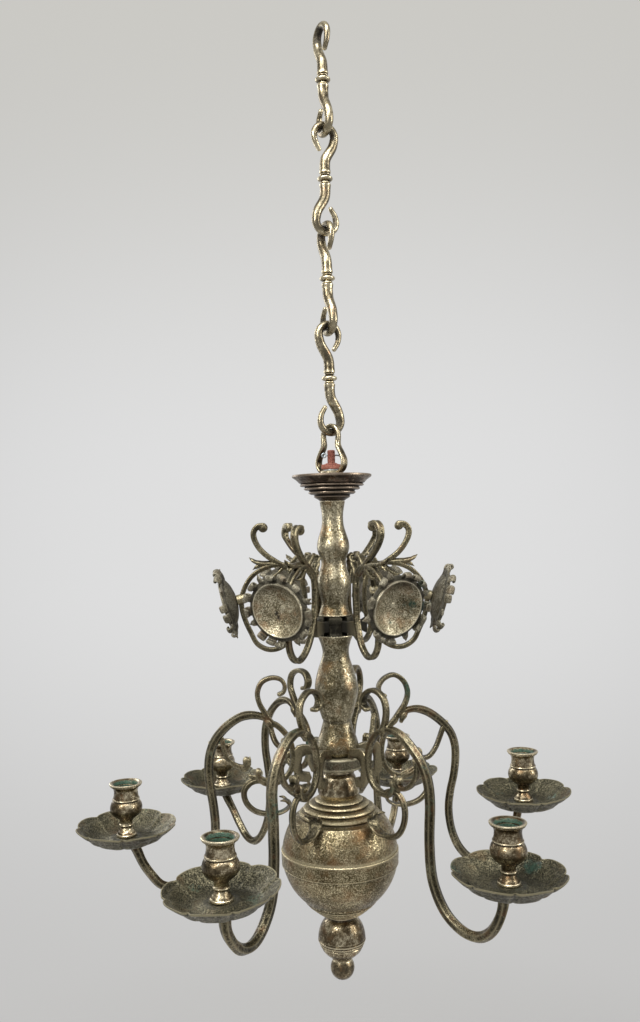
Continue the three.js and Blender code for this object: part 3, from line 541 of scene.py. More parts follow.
def linkForm(look):
    crown = look["pitch"] / 2 + look["gap"] / 2 + look["crownBar"]
    middle = crown - look["bend"]
    ring = bend(0, middle, look["bend"], 180, 0, 12)
    line = flat((0, 9), (0, beadEnd), (-1.3, 22.5), (-10.4, 38.7)) + ring + flat((11.7, 42.6), (6.8, 34.2))
    # the bead's own steps, then even ones along the bar
    hook = [Vector((0, 0, s)) for s, r in beadProfile[:-1]]
    hook += [p for p in evenly(through(line, 8), 1.7) if p.z > 10.5 or p.x > 0]
    reach = reaches(hook)
    crownReach = look["bendAt"] + math.pi * look["bend"] / 2

    def barAt(s):
        if s <= beadEnd:
            return between(beadProfile, s)[0]
        if s <= crownReach:
            share = (s - beadEnd) / (crownReach - beadEnd)
            return look["shank"] + (look["crownBar"] - look["shank"]) * share ** 1.7
        share = (s - crownReach) / (reach[-1] - crownReach)
        return look["crownBar"] + (look["tipBar"] - look["crownBar"]) * share ** 1.5

    half = [(p, barAt(s)) for p, s in zip(hook, reach)]
    whole = [(Vector((-p.x, 0, -p.z)), r) for p, r in half[:0:-1]] + half
    spots = [p for p, r in whole]
    lengths = reaches(spots)
    rows = [(s / lengths[-1], r, r) for s, (p, r) in zip(lengths, whole)]
    form = sweep(Form(), spots, rows, roundBar)
    for i, p in enumerate(form.points):
        # painted shade inside the bends, where the next hook sits
        deep = look["bend"] - math.hypot(p.x, abs(p.z) - middle)
        if abs(p.z) > middle - 5:
            form.grimeAndShade[i] = max(0.0, min(0.8, deep / 3))
    return form


linkBodies = ("top_link", "second_link", "third_link", "fourth_link")
for number, body in enumerate(linkBodies, 1):
    node = "chain_link_%d" % number
    low, high = millimetres(node)
    form = setDown(linkForm(chainLink), chainLink["turns"][number - 1], 0, (low.z + high.z) / 2)
    unevenly(form, 22, chainLink["waver"], number)
    makePiece("hook_link_%d" % number, form, body, metals["chainBrass"], [node])
print("chain links made")


# Stirrup shackle, bar nut, washer, split pin and the threaded top of the tie rod

stirrup = {"turn": -50, "drop": 53, "halfWidth": 21.5, "strap": 1.8, "eyeBend": 11.5, "eyeBar": 2.7,
           "gap": 0.15, "footRadius": 12.5, "hole": 5.4}


def shackleForm(look):
    crown = look["gap"] + look["eyeBar"]
    eye = crown - look["eyeBend"]
    foot = -look["drop"] + look["strap"]
    wide = look["halfWidth"] - look["strap"]
    leg = [(look["eyeBend"] * 0.95, eye - look["eyeBend"]), (wide * 0.78, (eye + foot) * 0.47),
           (wide, (eye + foot) * 0.62), (wide * 0.97, foot + 7.2), (wide * 0.72, foot + 1.26), (8, foot)]
    right = [(x, z) for x, y, z in bend(0, eye, look["eyeBend"], 60, 0, 3)] + leg
    line = [(-x, 0, z) for x, z in right[::-1]] + [(0, 0, crown)] + flat(*right)
    # broad at the feet, and slim round the eye so that the last link can swing
    rows = [(0, 1.8, 4.8), (0.12, 2.0, 5.0), (0.26, 2.3, 4.5), (0.38, 2.7, 3.1), (0.62, 2.7, 3.1),
            (0.74, 2.3, 4.5), (0.88, 2.0, 5.0), (1, 1.8, 4.8)]
    form = sweep(Form(), evenly(through(line, 8), 1.6), rows, softStrap)
    r, hole, under = look["footRadius"], look["hole"], -look["drop"]
    return turnUp(form, [(hole, under), (r - 0.6, under), (r, under + 0.6), (r, under + 2.9),
                         (r - 0.7, under + 3.6), (hole, under + 3.6), (hole, under)], 48)


shackleTop = millimetres("shackle")[1].z - stirrup["gap"] - 2 * stirrup["eyeBar"]
form = setDown(shackleForm(stirrup), stirrup["turn"], 0, shackleTop)
makePiece("stirrup", unevenly(form, 20, 0.3, 9), "shackle_body", metals["chainBrass"],
          ["shackle"])

tieRod = {"radius": 4.7, "threadPitch": 1.6, "threadDepth": 0.55, "threadInDish": 6}
rodLow, rodHigh = millimetres("tie_rod")
threadEnd = millimetres("top_dish")[1].z - tieRod["threadInDish"]
profile = [(0, rodHigh.z), (3.6, rodHigh.z), (4.3, rodHigh.z - 0.7)]
height = rodHigh.z - 0.9
while height > threadEnd:
    profile += [(tieRod["radius"], height),
                (tieRod["radius"] - tieRod["threadDepth"], height - tieRod["threadPitch"] / 2)]
    height -= tieRod["threadPitch"]
profile += [(tieRod["radius"], height), (tieRod["radius"], rodLow.z), (0, rodLow.z)]
makePiece("threaded_rod", turnUp(Form(), profile, 28), "chandelier_body",
          metals["rustyIron"], ["tie_rod"], 50)

nutLow, nutHigh = millimetres("bar_nut")
a, b, h = (nutHigh.x - nutLow.x) / 2, (nutHigh.y - nutLow.y) / 2, nutHigh.z - nutLow.z
# half length, half width, height and squareness of each ring, from the foot to the collar
nutRows = [(a - 0.6, b - 0.5, 0, 7), (a, b, 0.7, 7), (a, b, h * 0.66, 7), (a - 0.7, b - 0.5, h * 0.76, 6),
           (7.0, b - 0.4, h * 0.86, 3), (6.2, b - 0.5, h, 2.2), (4.9, 4.4, h, 2), (4.6, 4.2, h - 1, 2)]
form = Form()
rings = []
for long, wide, z, power in nutRows:
    section = strapSection(long, wide, 40, power)
    rings.append(form.ring([Vector((x, y, nutLow.z + z)) for x, y in section]))
for one, two in zip(rings, rings[1:]):
    form.bridge(one, two)
form.close(rings[0], True)
form.close(rings[-1], False)
makePiece("iron_bar_nut", unevenly(form, 5, 0.35, 3), "chandelier_body",
          metals["rustyIron"], ["bar_nut"])

washLow, washHigh = millimetres("washer")
z0, z1 = washLow.z, washHigh.z
profile = [(5.0, z0), (7.7, z0), (8.0, z0 + 0.3), (8.0, z1 - 0.3), (7.7, z1), (5.0, z1), (5.0, z0)]
makePiece("thin_washer", turnUp(Form(), profile, 40), "chandelier_body",
          metals["greyWire"], ["washer"])

pinZ = millimetres("split_pin")[1].z - 1.2
pinLine = [(-6.5, pinZ + 0.2), (0, pinZ), (7.5, pinZ), (10.3, pinZ - 0.9), (11.0, pinZ - 2.2)]
form = lay(Form(), pinLine, 8, [(0, 1.05, 1.2), (1, 0.9, 1.1)], wire)
sweep(form, bend(-8.4, pinZ, 2.2, 15, 345, 22), [(0, 0.95, 0.95), (1, 0.95, 0.95)], wire)
makePiece("wire_pin", form, "chandelier_body", metals["greyWire"], ["split_pin"])
print("shackle and fixings made")


# Turned pieces of the stem, from the top down. Profiles are (radius, height below the top).

# The pairs are the radius and the height of one turned piece each. The globe's height runs from its
# neck to its foot, and its seam lies a little above its middle.
stem = {"bore": 5.0, "upper": (19.5, 132), "bracketPlate": (20.5, 22), "middle": (25, 137.4),
        "armPlate": (27, 15), "neckKnop": (24, 32.8), "globe": (66.4, 132), "globeNeck": 19, "seam": 6,
        "seamLip": 1.1, "seamBand": 16, "pendant": (27, 52), "finial": (13.7, 24), "gap": 0.3}


def turnedPiece(name, node, profile, finish, crease, wobble=0.12, steps=112, top=None):
    if top is None:
        top = millimetres(node)[1].z
    form = turnUp(Form(), [(r, top + z) for r, z in profile], steps, wobble)
    return makePiece(name, form, "chandelier_body", metals[finish], [node], crease)


bore = stem["bore"]
gap = stem["gap"]
dishProfile = profileLine(
    [(bore, 0), (17, 0)], ("soft", 4, [(17, 0), (21, -1.2), (30, -2.2), (39, -1.9), (43.6, -0.3)]),
    [(45.2, 0), (45.9, -0.5), (46, -1.4), (46, -2.2), (45.6, -2.9), (45.0, -3.3)],
    ("soft", 4, [(45.0, -3.3), (42.4, -5.0), (39.4, -7.6), (37.6, -9.6)]),
    [(36.4, -9.9), (35.6, -10.6), (36.6, -11.2), (37.0, -12.0), (36.6, -12.8), (35.4, -13.3),
     (32.4, -13.5), (31.4, -14.1), (31.2, -14.8), (32.4, -15.3), (32.6, -16.2), (32.0, -17.0),
     (30.6, -17.6), (27.4, -17.9), (26.4, -18.5), (26.2, -19.3), (27.2, -19.9), (27.3, -20.8),
     (26.6, -21.7), (24.8, -22.6), (21.6, -23.0), (20.6, -23.6), (20.4, -24.4), (21.0, -25.0),
     (20.8, -25.8)],
    ("soft", 4, [(20.8, -25.8), (19.0, -27.0), (16.8, -28.2), (15.4, -29.2)]),
    [(15.0, -29.6), (14.2, -30.1), (bore, -30.2), (bore, 0)])
turnedPiece("stepped_dish", "top_dish", dishProfile, "dishBronze", 25)

r, h = stem["upper"]
upperProfile = profileLine(
    [(bore, 0), (r * 0.74, 0)],
    ("soft", 9, [(r * 0.755, -0.6), (r * 0.70, -h * 0.05), (r * 0.635, -h * 0.12), (r * 0.66, -h * 0.21),
                 (r * 0.96, -h * 0.4), (r * 0.73, -h * 0.535), (r, -h * 0.71), (r * 0.78, -h * 0.885),
                 (r * 0.93, -h * 0.985)]),
    [(r * 0.95, -h + 1.2), (r * 0.93, -h + gap), (bore, -h + gap), (bore, 0)])
turnedPiece("upper_stem", "upper_baluster", upperProfile, "stemBrass", 35, 0.3)

r, h = stem["middle"]
middleProfile = profileLine(
    [(bore, 0), (r * 0.81, 0)],
    ("soft", 8, [(r * 0.82, -0.8), (r * 0.70, -h * 0.06), (r * 0.605, -h * 0.15), (r * 0.88, -h * 0.325),
                 (r, -h * 0.45), (r * 0.82, -h * 0.61), (r * 0.69, -h * 0.695)]),
    [(r * 0.66, -h * 0.70), (r * 0.64, -h * 0.715), (r * 0.66, -h * 0.73)],
    ("soft", 6, [(r * 0.665, -h * 0.735), (r * 0.78, -h * 0.81), (r * 0.90, -h * 0.87),
                 (r * 0.965, -h * 0.92), (r * 0.95, -h * 0.955), (r * 0.84, -h * 0.985),
                 (r * 0.76, -h + 0.5)]),
    [(bore, -h + gap), (bore, 0)])
turnedPiece("middle_stem", "middle_baluster", middleProfile, "stemBrass", 35, 0.35)

r, h = stem["neckKnop"]
knopProfile = profileLine(
    [(bore, 0), (r * 0.68, 0), (r * 0.7, -0.6), (r * 0.7, -h * 0.13), (r * 0.67, -h * 0.16)],
    ("soft", 6, [(r * 0.70, -h * 0.18), (r * 0.80, -h * 0.27), (r * 0.89, -h * 0.46), (r * 0.99, -h * 0.70),
                 (r * 0.985, -h * 0.84), (r * 0.90, -h * 0.95)]),
    [(r * 0.86, -h + gap), (bore, -h + gap), (bore, 0)])
turnedPiece("bell_knop", "neck_knop", knopProfile, "socketBrass", 35)

globeR, globeDrop = stem["globe"]
globeMiddle = math.sqrt(globeR ** 2 - stem["globeNeck"] ** 2)


def sideAt(height, size=globeR):
    # radius of the globe, or of the lip round its seam, at a height
    return math.sqrt(max(size ** 2 - (height + globeMiddle) ** 2, 0))


def globeArc(start, end, steps):
    # places on the globe from one angle to another, without the first
    angles = [start + (end - start) * i / steps for i in range(1, steps + 1)]
    return [(globeR * math.cos(a), globeR * math.sin(a) - globeMiddle) for a in angles]


seam = stem["seam"] - globeMiddle
upperGlobe = [(bore, 0), (21, 0), (24.5, -0.5), (26.8, -1.6), (27.7, -2.8), (27.3, -3.7), (26.6, -4.3),
              (27.4, -4.8), (31.0, -4.9), (33.4, -5.7), (34.6, -7.0), (34.2, -8.1), (33.3, -8.8),
              (34.2, -9.3), (38.0, -9.6), (40.2, -10.7), (41.2, -12.2), (40.8, -13.4), (39.8, -14.2),
              (40.8, -14.7), (44.0, -15.4), (45.8, -16.8), (46.4, -18.4), (46.0, -19.5), (45.2, -20.3),
              (46.0, -21.0)]
upperGlobe += globeArc(math.asin((upperGlobe[-1][1] + globeMiddle) / globeR),
                       math.asin((seam + globeMiddle) / globeR), 18)
upperGlobe += [(sideAt(seam) - 3, seam), (bore + 20, seam + 30), (bore, seam + 30), (bore, 0)]
turnedPiece("globe_top", "globe_upper_half", upperGlobe, "globeBrass", 28, 0.3)

proud = globeR + stem["seamLip"]
lowerTop = seam - gap
bandStart = lowerTop - 0.7
bandEnd = lowerTop - stem["seamBand"]
lowerGlobe = [(bore, lowerTop - 20), (30, lowerTop - 20), (60, lowerTop - 1), (proud - 2.2, lowerTop),
              (sideAt(lowerTop, proud) - 0.5, lowerTop), (sideAt(lowerTop, proud) + 0.1, bandStart)]
for z in (bandStart + (bandEnd - bandStart) * i / 7 for i in range(1, 8)):
    lowerGlobe.append((sideAt(z, proud) - 0.25, z))
lowerGlobe += [(sideAt(bandEnd, proud) + 0.15, bandEnd - 0.2), (sideAt(bandEnd, proud) - 0.2, bandEnd - 0.9),
               (sideAt(bandEnd) - 0.1, bandEnd - 1.3)]
lowerGlobe += globeArc(math.asin((bandEnd - 1.3 + globeMiddle) / globeR), -math.acos(42 / globeR), 14)
foot = -globeDrop + gap
lowerGlobe += [(41.2, foot + 14.6), (40.4, foot + 14.1), (38.6, foot + 13.6), (38.0, foot + 13.0),
               (38.6, foot + 12.2), (38.0, foot + 11.0), (36.2, foot + 10.0), (34.6, foot + 9.7),
               (33.8, foot + 9.2), (34.2, foot + 8.3), (33.6, foot + 7.2), (32.0, foot + 6.4),
               (30.4, foot + 6.1), (29.6, foot + 5.6), (30.0, foot + 4.8), (29.2, foot + 3.6),
               (27.6, foot + 2.8), (26.2, foot + 2.5), (25.6, foot + 2.0), (25.8, foot + 1.2),
               (24.2, foot + 0.5), (20, foot), (bore, foot), (bore, lowerTop - 20)]
globeTop = millimetres("globe_lower_half")[0].z - foot
turnedPiece("globe_bowl", "globe_lower_half", lowerGlobe, "globeBrass", 28, 0.3, top=globeTop)

r, h = stem["pendant"]
pendantProfile = profileLine(
    [(bore, 0), (r * 0.64, 0), (r * 0.66, -0.5), (r * 0.66, -h * 0.055), (r * 0.61, -h * 0.08)],
    ("soft", 6, [(r * 0.62, -h * 0.10), (r * 0.78, -h * 0.19), (r * 0.90, -h * 0.30),
                 (r * 0.985, -h * 0.45), (r, -h * 0.54)]),
    [(r * 0.985, -h * 0.552), (r * 0.975, -h * 0.562), (r * 1.005, -h * 0.572), (r * 1.01, -h * 0.59),
     (r * 0.99, -h * 0.605), (r * 0.945, -h * 0.615), (r * 0.93, -h * 0.628), (r * 0.955, -h * 0.642),
     (r * 0.955, -h * 0.662), (r * 0.925, -h * 0.678), (r * 0.90, -h * 0.69), (r * 0.915, -h * 0.704),
     (r * 0.905, -h * 0.722), (r * 0.875, -h * 0.735)],
    ("soft", 6, [(r * 0.875, -h * 0.745), (r * 0.80, -h * 0.82), (r * 0.62, -h * 0.91),
                 (r * 0.50, -h * 0.955)]),
    [(r * 0.47, -h * 0.965), (r * 0.46, -h * 0.985), (r * 0.44, -h + gap), (bore, -h + gap), (bore, 0)])
turnedPiece("ringed_pendant", "pendant_knop", pendantProfile, "socketBrass", 28)

r, h = stem["finial"]
ball = [(r * math.cos(math.radians(a)), -h + r * 0.97 + r * math.sin(math.radians(a)))
        for a in range(44, -91, -6)]
ball[-1] = (0, ball[-1][1])
finialProfile = [(0, -10), (bore, -10), (bore, 0), (r * 0.74, 0), (r * 0.80, -0.5), (r * 0.80, -1.1),
                 (r * 0.70, -1.6), (r * 0.68, -1.9)] + ball
turnedPiece("ball_finial", "finial", finialProfile, "socketBrass", 30, 0.1, 80)
print("turned stem made")


# Slotted plates that the brackets and the arms hang from

slots = {"wide": 7.6, "bracketDepth": 8, "armHole": (20.6, 24.4)}


def slottedPlate(name, node, profile, inner, outer, turns, finish):
    # the slots run from inner to outer, measured from the axis
    plate = turnedPiece(name, node, profile, finish, 32, 0.15, 96)
    low, high = millimetres(node)
    tall = (high.z - low.z) * 2
    cutter = Form()
    for turn in turns:
        block = Form()
        for x in (inner, outer):
            for y in (-slots["wide"] / 2, slots["wide"] / 2):
                for z in (low.z - tall / 2, low.z + tall * 1.5):
                    block.add((x, y, z))
        block.faces = [[0, 1, 3, 2], [4, 6, 7, 5], [0, 4, 5, 1], [2, 3, 7, 6], [0, 2, 6, 4], [1, 5, 7, 3]]
        cutter.join(block, turned(turn, "Z"))
    tool = bpy.data.meshes.new("slot tool")
    tool.from_pydata([p * mm for p in cutter.points], [], cutter.faces)
    toolObject = bpy.data.objects.new("slot tool", tool)
    scene.collection.objects.link(toolObject)
    cut = plate.modifiers.new("slots", "BOOLEAN")
    cut.operation = "DIFFERENCE"
    cut.solver = "EXACT"
    cut.object = toolObject
    soften = plate.modifiers.new("broken edges", "BEVEL")
    soften.width = 0.0004
    soften.segments = 2
    soften.limit_method = "ANGLE"
    soften.angle_limit = math.radians(50)
    shaped = bpy.data.meshes.new_from_object(plate.evaluated_get(bpy.context.evaluated_depsgraph_get()))
    plate.modifiers.clear()
    plate.data = shaped
    bpy.data.objects.remove(toolObject)


def middleOf(node):
    low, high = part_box(node)
    return (low + high) / 2


panMiddles = [middleOf("drip_pan_%d" % k) for k in range(1, 7)]
armTurns = [math.degrees(math.atan2(p.y, p.x)) for p in panMiddles]
armReaches = [math.hypot(p.x, p.y) * 1000 for p in panMiddles]
bracketTurns = [60 * k - 6 for k in range(6)]  # evenly round the stem
r, h = stem["bracketPlate"]
bracketPlateProfile = [(bore, 0), (r * 0.86, 0), (r * 0.96, -0.5), (r * 1.03, -1.6), (r * 1.05, -3.4),
                       (r * 1.045, -6.8), (r * 1.02, -8.6), (r * 0.99, -9.6), (r, -10.4),
                       (r, -h + 2.6), (r * 1.02, -h + 2.0), (r * 1.02, -h + 1.0), (r * 0.97, -h + gap),
                       (bore, -h + gap), (bore, 0)]
slottedPlate("bracket_ring", "bracket_plate", bracketPlateProfile, r - slots["bracketDepth"],
             r + slots["bracketDepth"], bracketTurns, "darkBrass")
r, h = stem["armPlate"]
armPlateProfile = [(bore, 0), (r * 0.90, 0), (r * 0.965, -0.5), (r, -1.6), (r, -2.6), (r * 0.985, -3.0),
                   (r * 0.985, -h + 3.4), (r, -h + 3.0), (r, -h + 1.2), (r * 0.96, -h + gap),
                   (bore, -h + gap), (bore, 0)]
slottedPlate("arm_ring", "arm_plate", armPlateProfile, *slots["armHole"], armTurns, "plateBrass")
print("plates slotted")


# Candle arms: a forged rod over the arch and round the bend, with strap scrolls that end in leaves

arm = {"strap": 3.0, "strapWide": 3.6, "rimDrop": 57, "panDepth": 13, "panWall": 2.5, "gap": 0.3,
       "seatRadius": 14, "seatHeight": 7, "hook": 7, "waver": 0.4}
armSeat = -arm["rimDrop"] - arm["panDepth"] - arm["panWall"] - arm["gap"]
# Each arm was bent by hand: half thickness of its rod, its arch and bend, the scroll above the
# crossing and the leaf inside the arch, as (distance from the axis, height from the arm plate)
armShapes = [
    {"rod": 4.9,
     "arch": [(74, 47), (83, 53), (94, 54.5), (105, 51.5), (116, 45), (127, 35.5), (136, 24),
              (140.5, 10), (141, -5), (138.5, -26), (134, -44), (131.5, -60), (132, -76)],
     "bend": [(136, -95), (144, -112), (157, -125), (172, -128), (187, -124), (200, -114), (209, -100),
              (215, -84)],
     "scroll": [(66, 40), (74, 51), (81, 61), (84.5, 74), (80, 87.5), (68, 95.5), (56, 91.5), (50, 82),
                (52, 75), (57, 72)],
     "leaf": [(131, 37), (127, 31), (122.5, 20), (117, 8), (108, -2), (99.5, -2.5), (96, 5)]},
    {"rod": 5.0,
     "arch": [(77, 48), (87, 54), (98, 55), (110, 53), (124, 45), (137, 33), (147, 18), (150, 2),
              (148.5, -16), (146, -36), (143.5, -56), (144, -76)],
     "bend": [(147, -97), (154, -117), (166, -133), (181, -140), (197, -139), (213, -129), (226, -113),
              (232, -100)],
     "scroll": [(72, 50), (80, 62), (86, 76), (83, 89), (71, 97), (59, 94.5), (52, 85), (54, 77),
                (60, 75.5)],
     "leaf": [(141, 30), (136, 22), (132, 11), (125, 1), (115, -4), (107, -1.5), (105, 5)]},
    {"rod": 5.0,
     "arch": [(78, 48), (88, 55.5), (98, 56.5), (108, 54), (119, 46.5), (130, 34.5), (138, 19),
              (140.5, 2), (139.5, -13), (136, -29), (133, -46), (132, -64)],
     "bend": [(134, -84), (142, -106), (156, -126), (171, -134.5), (185, -132), (201, -119), (216, -103),
              (228, -92)],
     "scroll": [(72, 50), (80, 62), (86, 76), (82, 90), (69, 96.5), (56, 94), (51, 85), (54, 78),
                (60, 76.5)],
     "leaf": [(134, 28), (129, 20), (125, 10), (118, 1), (108, -3), (101, 0), (100, 6)]},
    {"rod": 5.2,
     "arch": [(75, 48), (84, 54), (96, 57), (109, 56), (121, 50), (131.5, 41), (140.5, 29), (146, 15),
              (147.5, 0), (146, -22), (143, -45), (141.5, -66)],
     "bend": [(143, -86), (150, -105), (162, -120), (177, -129), (191, -130.5), (203, -127), (214, -115),
              (223, -101), (229, -87)],
     "scroll": [(75, 47), (83, 59), (89, 70), (91, 82), (86, 94), (75, 98.5), (64, 96), (59.5, 88),
                (61.5, 81.5), (66, 79.5)],
     "leaf": [(135, 37), (132, 31), (130.5, 22), (126.5, 10), (117, 1.5), (107.5, -0.5), (105, 6.5)]},
    {"rod": 5.8,
     "arch": [(75, 46), (86, 51), (99, 52), (112, 48.5), (124, 41), (135, 31), (143, 19), (147.5, 5),
              (147, -14), (145.5, -34), (145.5, -56), (147, -76)],
     "bend": [(150, -94), (156.5, -110), (168, -122), (182, -130), (196, -131.5), (211, -126.5),
              (224, -115), (233, -101), (235, -90)],
     "scroll": [(75, 46), (83, 57), (88, 70), (85.5, 81), (77, 88), (66, 91), (54, 88.5), (45.5, 82.5),
                (43, 75.5), (47, 70), (55, 69)],
     "leaf": [(134, 31), (130, 24), (127, 13), (120, 3), (111, -2.5), (104, 0), (103.5, 6)]},
    {"rod": 5.6,
     "arch": [(75, 45), (86, 49.5), (98, 48.5), (109, 43.5), (120, 35.5), (131, 26), (138.5, 14.5),
              (143, 1), (144.5, -16), (143.5, -38), (142.5, -60), (143, -78)],
     "bend": [(146, -95), (153.5, -111), (165, -124), (179, -131.5), (193, -134.5), (207, -132.5),
              (220.5, -124), (230.5, -110), (237.5, -92)],
     "scroll": [(74, 45), (80, 57), (82, 70), (79, 81), (71, 87.5), (61, 89), (51, 84.5), (45.5, 77),
                (46, 70), (52, 66.5)],
     "leaf": [(130, 25), (127.5, 19), (126.5, 9), (119, -3), (108, -9.5), (100.5, -8), (99.5, -2)]},
]


def keyForm(outline, thickness, ease=0.7):
    # a flat key cut to the outline, with broken edges
    corners = [Vector((x, 0, z)) for x, z in outline]
    following = corners[1:] + corners[:1]
    turning = sum(p.x * q.z - q.x * p.z for p, q in zip(corners, following))
    insets = []
    for before, here, after in zip(corners[-1:] + corners, corners, following):
        run = (here - before).normalized() + (after - here).normalized()
        inward = Vector((-run.z, 0, run.x)).normalized() * (1 if turning > 0 else -1)
        insets.append(inward * ease)
    form = Form()
    rings = []
    side = thickness / 2
    for y, inset in ((-side, 1), (-side + ease, 0), (side - ease, 0), (side, 1)):
        places = [p + Vector((0, y, 0)) + move * inset for p, move in zip(corners, insets)]
        rings.append(form.ring(places))
    for a, b in zip(rings, rings[1:]):
        form.bridge(a, b)
    form.faces.append(rings[0][::-1])
    form.faces.append(rings[-1])
    return form


def armForm(reach, lift, number):
    shape = armShapes[number - 1]
    form = Form()
    seatLow = lift + armSeat - arm["seatHeight"]
    b = shape["rod"]
    rodLine = through(flat(*shape["arch"], *shape["bend"], (reach - 7, seatLow + 1)), 9)
    rodRows = [(0, b * 0.5, b * 0.55), (0.04, b * 0.8, b * 0.8), (0.10, b, b), (0.93, b * 0.97, b * 0.97),
               (0.985, b * 1.08, b * 1.08), (1, b * 1.25, b * 1.25)]
    sweep(form, evenly(rodLine, 2.2), rodRows, forgedBar, flatEnd=True)
    t, w = arm["strap"], arm["strapWide"]
    # the upper scroll runs on below the crossing and ends inside the loop
    lowerScroll = [(70, 44.5), (62.5, 37.5), (55.5, 27.5), (51.5, 11), (53.5, -5), (62, -16.5),
                   (74.5, -21.5), (85, -20.5), (92, -14), (91.5, -7)]
    lay(form, shape["scroll"][::-1] + lowerScroll, 7,
        [(0, t * 0.8, w * 1.35), (0.05, t * 0.8, w * 1.4), (0.12, t * 0.85, w * 1.25), (0.24, t, w),
         (0.5, t * 1.1, w), (0.9, t, w), (0.965, t * 0.9, w * 1.2), (1, t * 1.2, w * 1.25)], strap, 1.8)
    loopTop = -21
    deep = 1 if number > 4 else 0.76
    loop = [(74, -21), (84, -18.5), (94, -16.5), (102.5, -21), (107.5, -32), (105.5, -47), (96.5, -60),
            (83, -66), (68, -65.5), (58.5, -59), (56.5, -51.5), (63, -46)]
    lay(form, [(x, loopTop + (z - loopTop) * deep) for x, z in loop], 8,
        [(0, t * 0.6, w * 0.5), (0.10, t, w * 0.9), (0.65, t * 0.85, w), (0.82, t * 0.55, w * 1.7),
         (0.93, t * 0.45, w * 2.3), (1, t * 0.35, w * 2.0)], leafStrap, 1.7)
    # pointed folds at the leaf's corners, and the spur where the loop leaves the first one
    fold = loopTop - 27 * deep
    for side in (1, -1):
        tip = [(59, side * 4.5, fold - 1.5), (62.5, side * 7.0, fold + 1.8), (67.5, side * 8.6, fold + 2.4)]
        sweep(form, through(tip, 6), [(0, t * 0.5, 3.2), (0.6, t * 0.4, 2.2), (1, t * 0.25, 0.5)], strap)
    lay(form, [(83, -20), (91, -14.5), (99, -12.5), (104.5, -9.5)], 6,
        [(0, t * 1.2, w * 0.9), (0.5, t * 1.1, w * 0.95), (0.8, t * 0.7, w * 0.7), (1, t * 0.2, w * 0.25)],
        strap)
    lay(form, shape["leaf"], 7,
        [(0, t * 0.7, w * 0.6), (0.15, t * 0.95, w * 0.85), (0.7, t * 0.85, w * 0.95),
         (0.88, t * 0.9, w * 1.1), (1, t * 1.35, w * 1.25)], strap, 1.6)
    # the curled leaf at the end of the inner one
    x, z = shape["leaf"][-2]
    lay(form, [(x + 6, z - 3), (x + 1, z - 3.5), (x - 3.5, z - 0.5), (x - 6, z + 5), (x - 6.5, z + 11)], 6,
        [(0, 0.5, 1.2), (0.3, t * 0.9, w), (0.6, t * 0.9, w * 1.15), (0.85, t * 0.55, w * 0.8),
         (1, 0.4, 0.9)], strap)
    # small collar where the upper scroll and the rod part
    lay(form, [(76, 41), (79, 47.5), (84.5, 52.5)], 5,
        [(0, t * 0.7, w * 0.8), (0.5, t * 1.25, w * 1.2), (1, t * 0.5, w * 0.7)], strap)
    # the root clasps the plate, and its hook drops into the hole from above
    root = keyForm([(20.9, 15), (23.5, 17.5), (30, 19.5), (40, 21), (47, 19.5), (52.5, 12), (53, 0),
                    (51, -13), (45, -20.5), (34, -22), (31, -17), (33, -11.5), (41, -10), (42.5, 0),
                    (41, 7), (36, 9.6), (27.4, 9.6), (27.4, 7.8), (24.1, 7.8), (24.1, -9), (20.9, -9)],
                   arm["hook"])
    # painted shade on the root, darkest near the plate
    root.grimeAndShade = [0.35 if p.x < 46 else 0.1 for p in root.points]
    form.join(root)
    unevenly(form, 26, arm["waver"], number + 20)
    s, top = arm["seatRadius"], lift + armSeat
    seat = turnUp(Form(), [(0, seatLow - 1.2), (6.5, seatLow - 1.0), (8.2, seatLow + 0.2),
                           (11.5, seatLow + 0.6), (s - 0.5, seatLow + 1.4), (s, seatLow + 2.2),
                           (s - 0.3, seatLow + 3.6), (s * 0.82, top - 1.4), (s * 0.74, top), (3, top),
                           (3, top + 9), (0, top + 9)], 48, 0.2)
    return form.join(seat, Matrix.Translation((reach, 0, 0)))


armMiddle = millimetres("arm_plate")[1].z - stem["armPlate"][1] / 2
for number in range(1, 7):
    lift = millimetres("drip_pan_%d" % number)[1].z - armMiddle + arm["rimDrop"]
    form = armForm(armReaches[number - 1], lift, number)
    form = setDown(form, armTurns[number - 1], 0, armMiddle)
    for i, p in enumerate(form.points):
        # green settles on the upper bends and under the scrolls
        damp = noise.noise(p / 34 + Vector((number * 3.1, 0, 5)))
        form.green[i] = max(0.0, damp - 0.18) * 1.1
    makePiece("scrolled_arm_%d" % number, form, "chandelier_body", metals["armBrass"],
              ["arm_%d" % number], 40)
print("candle arms made")


# Lobed drip pans

pan = {"radius": 54.7, "wall": 2.5, "lobes": 8, "notch": 3.4, "flute": 0.9,
       "tilt": ((0.4, -0.6), (0.5, 0.4), (-0.6, 0.5), (0.5, -0.4), (1.2, 3.4), (-0.5, 0.5))}
panRise = [(0.0, -13.0), (0.26, -13.0), (0.285, -13.15), (0.33, -14.0), (0.42, -15.4), (0.52, -16.0),
           (0.60, -15.7), (0.70, -12.7), (0.79, -8.6), (0.85, -5.5), (0.875, -4.7), (0.90, -4.2),
           (0.93, -2.9), (0.96, -1.4), (1.0, 0.0)]


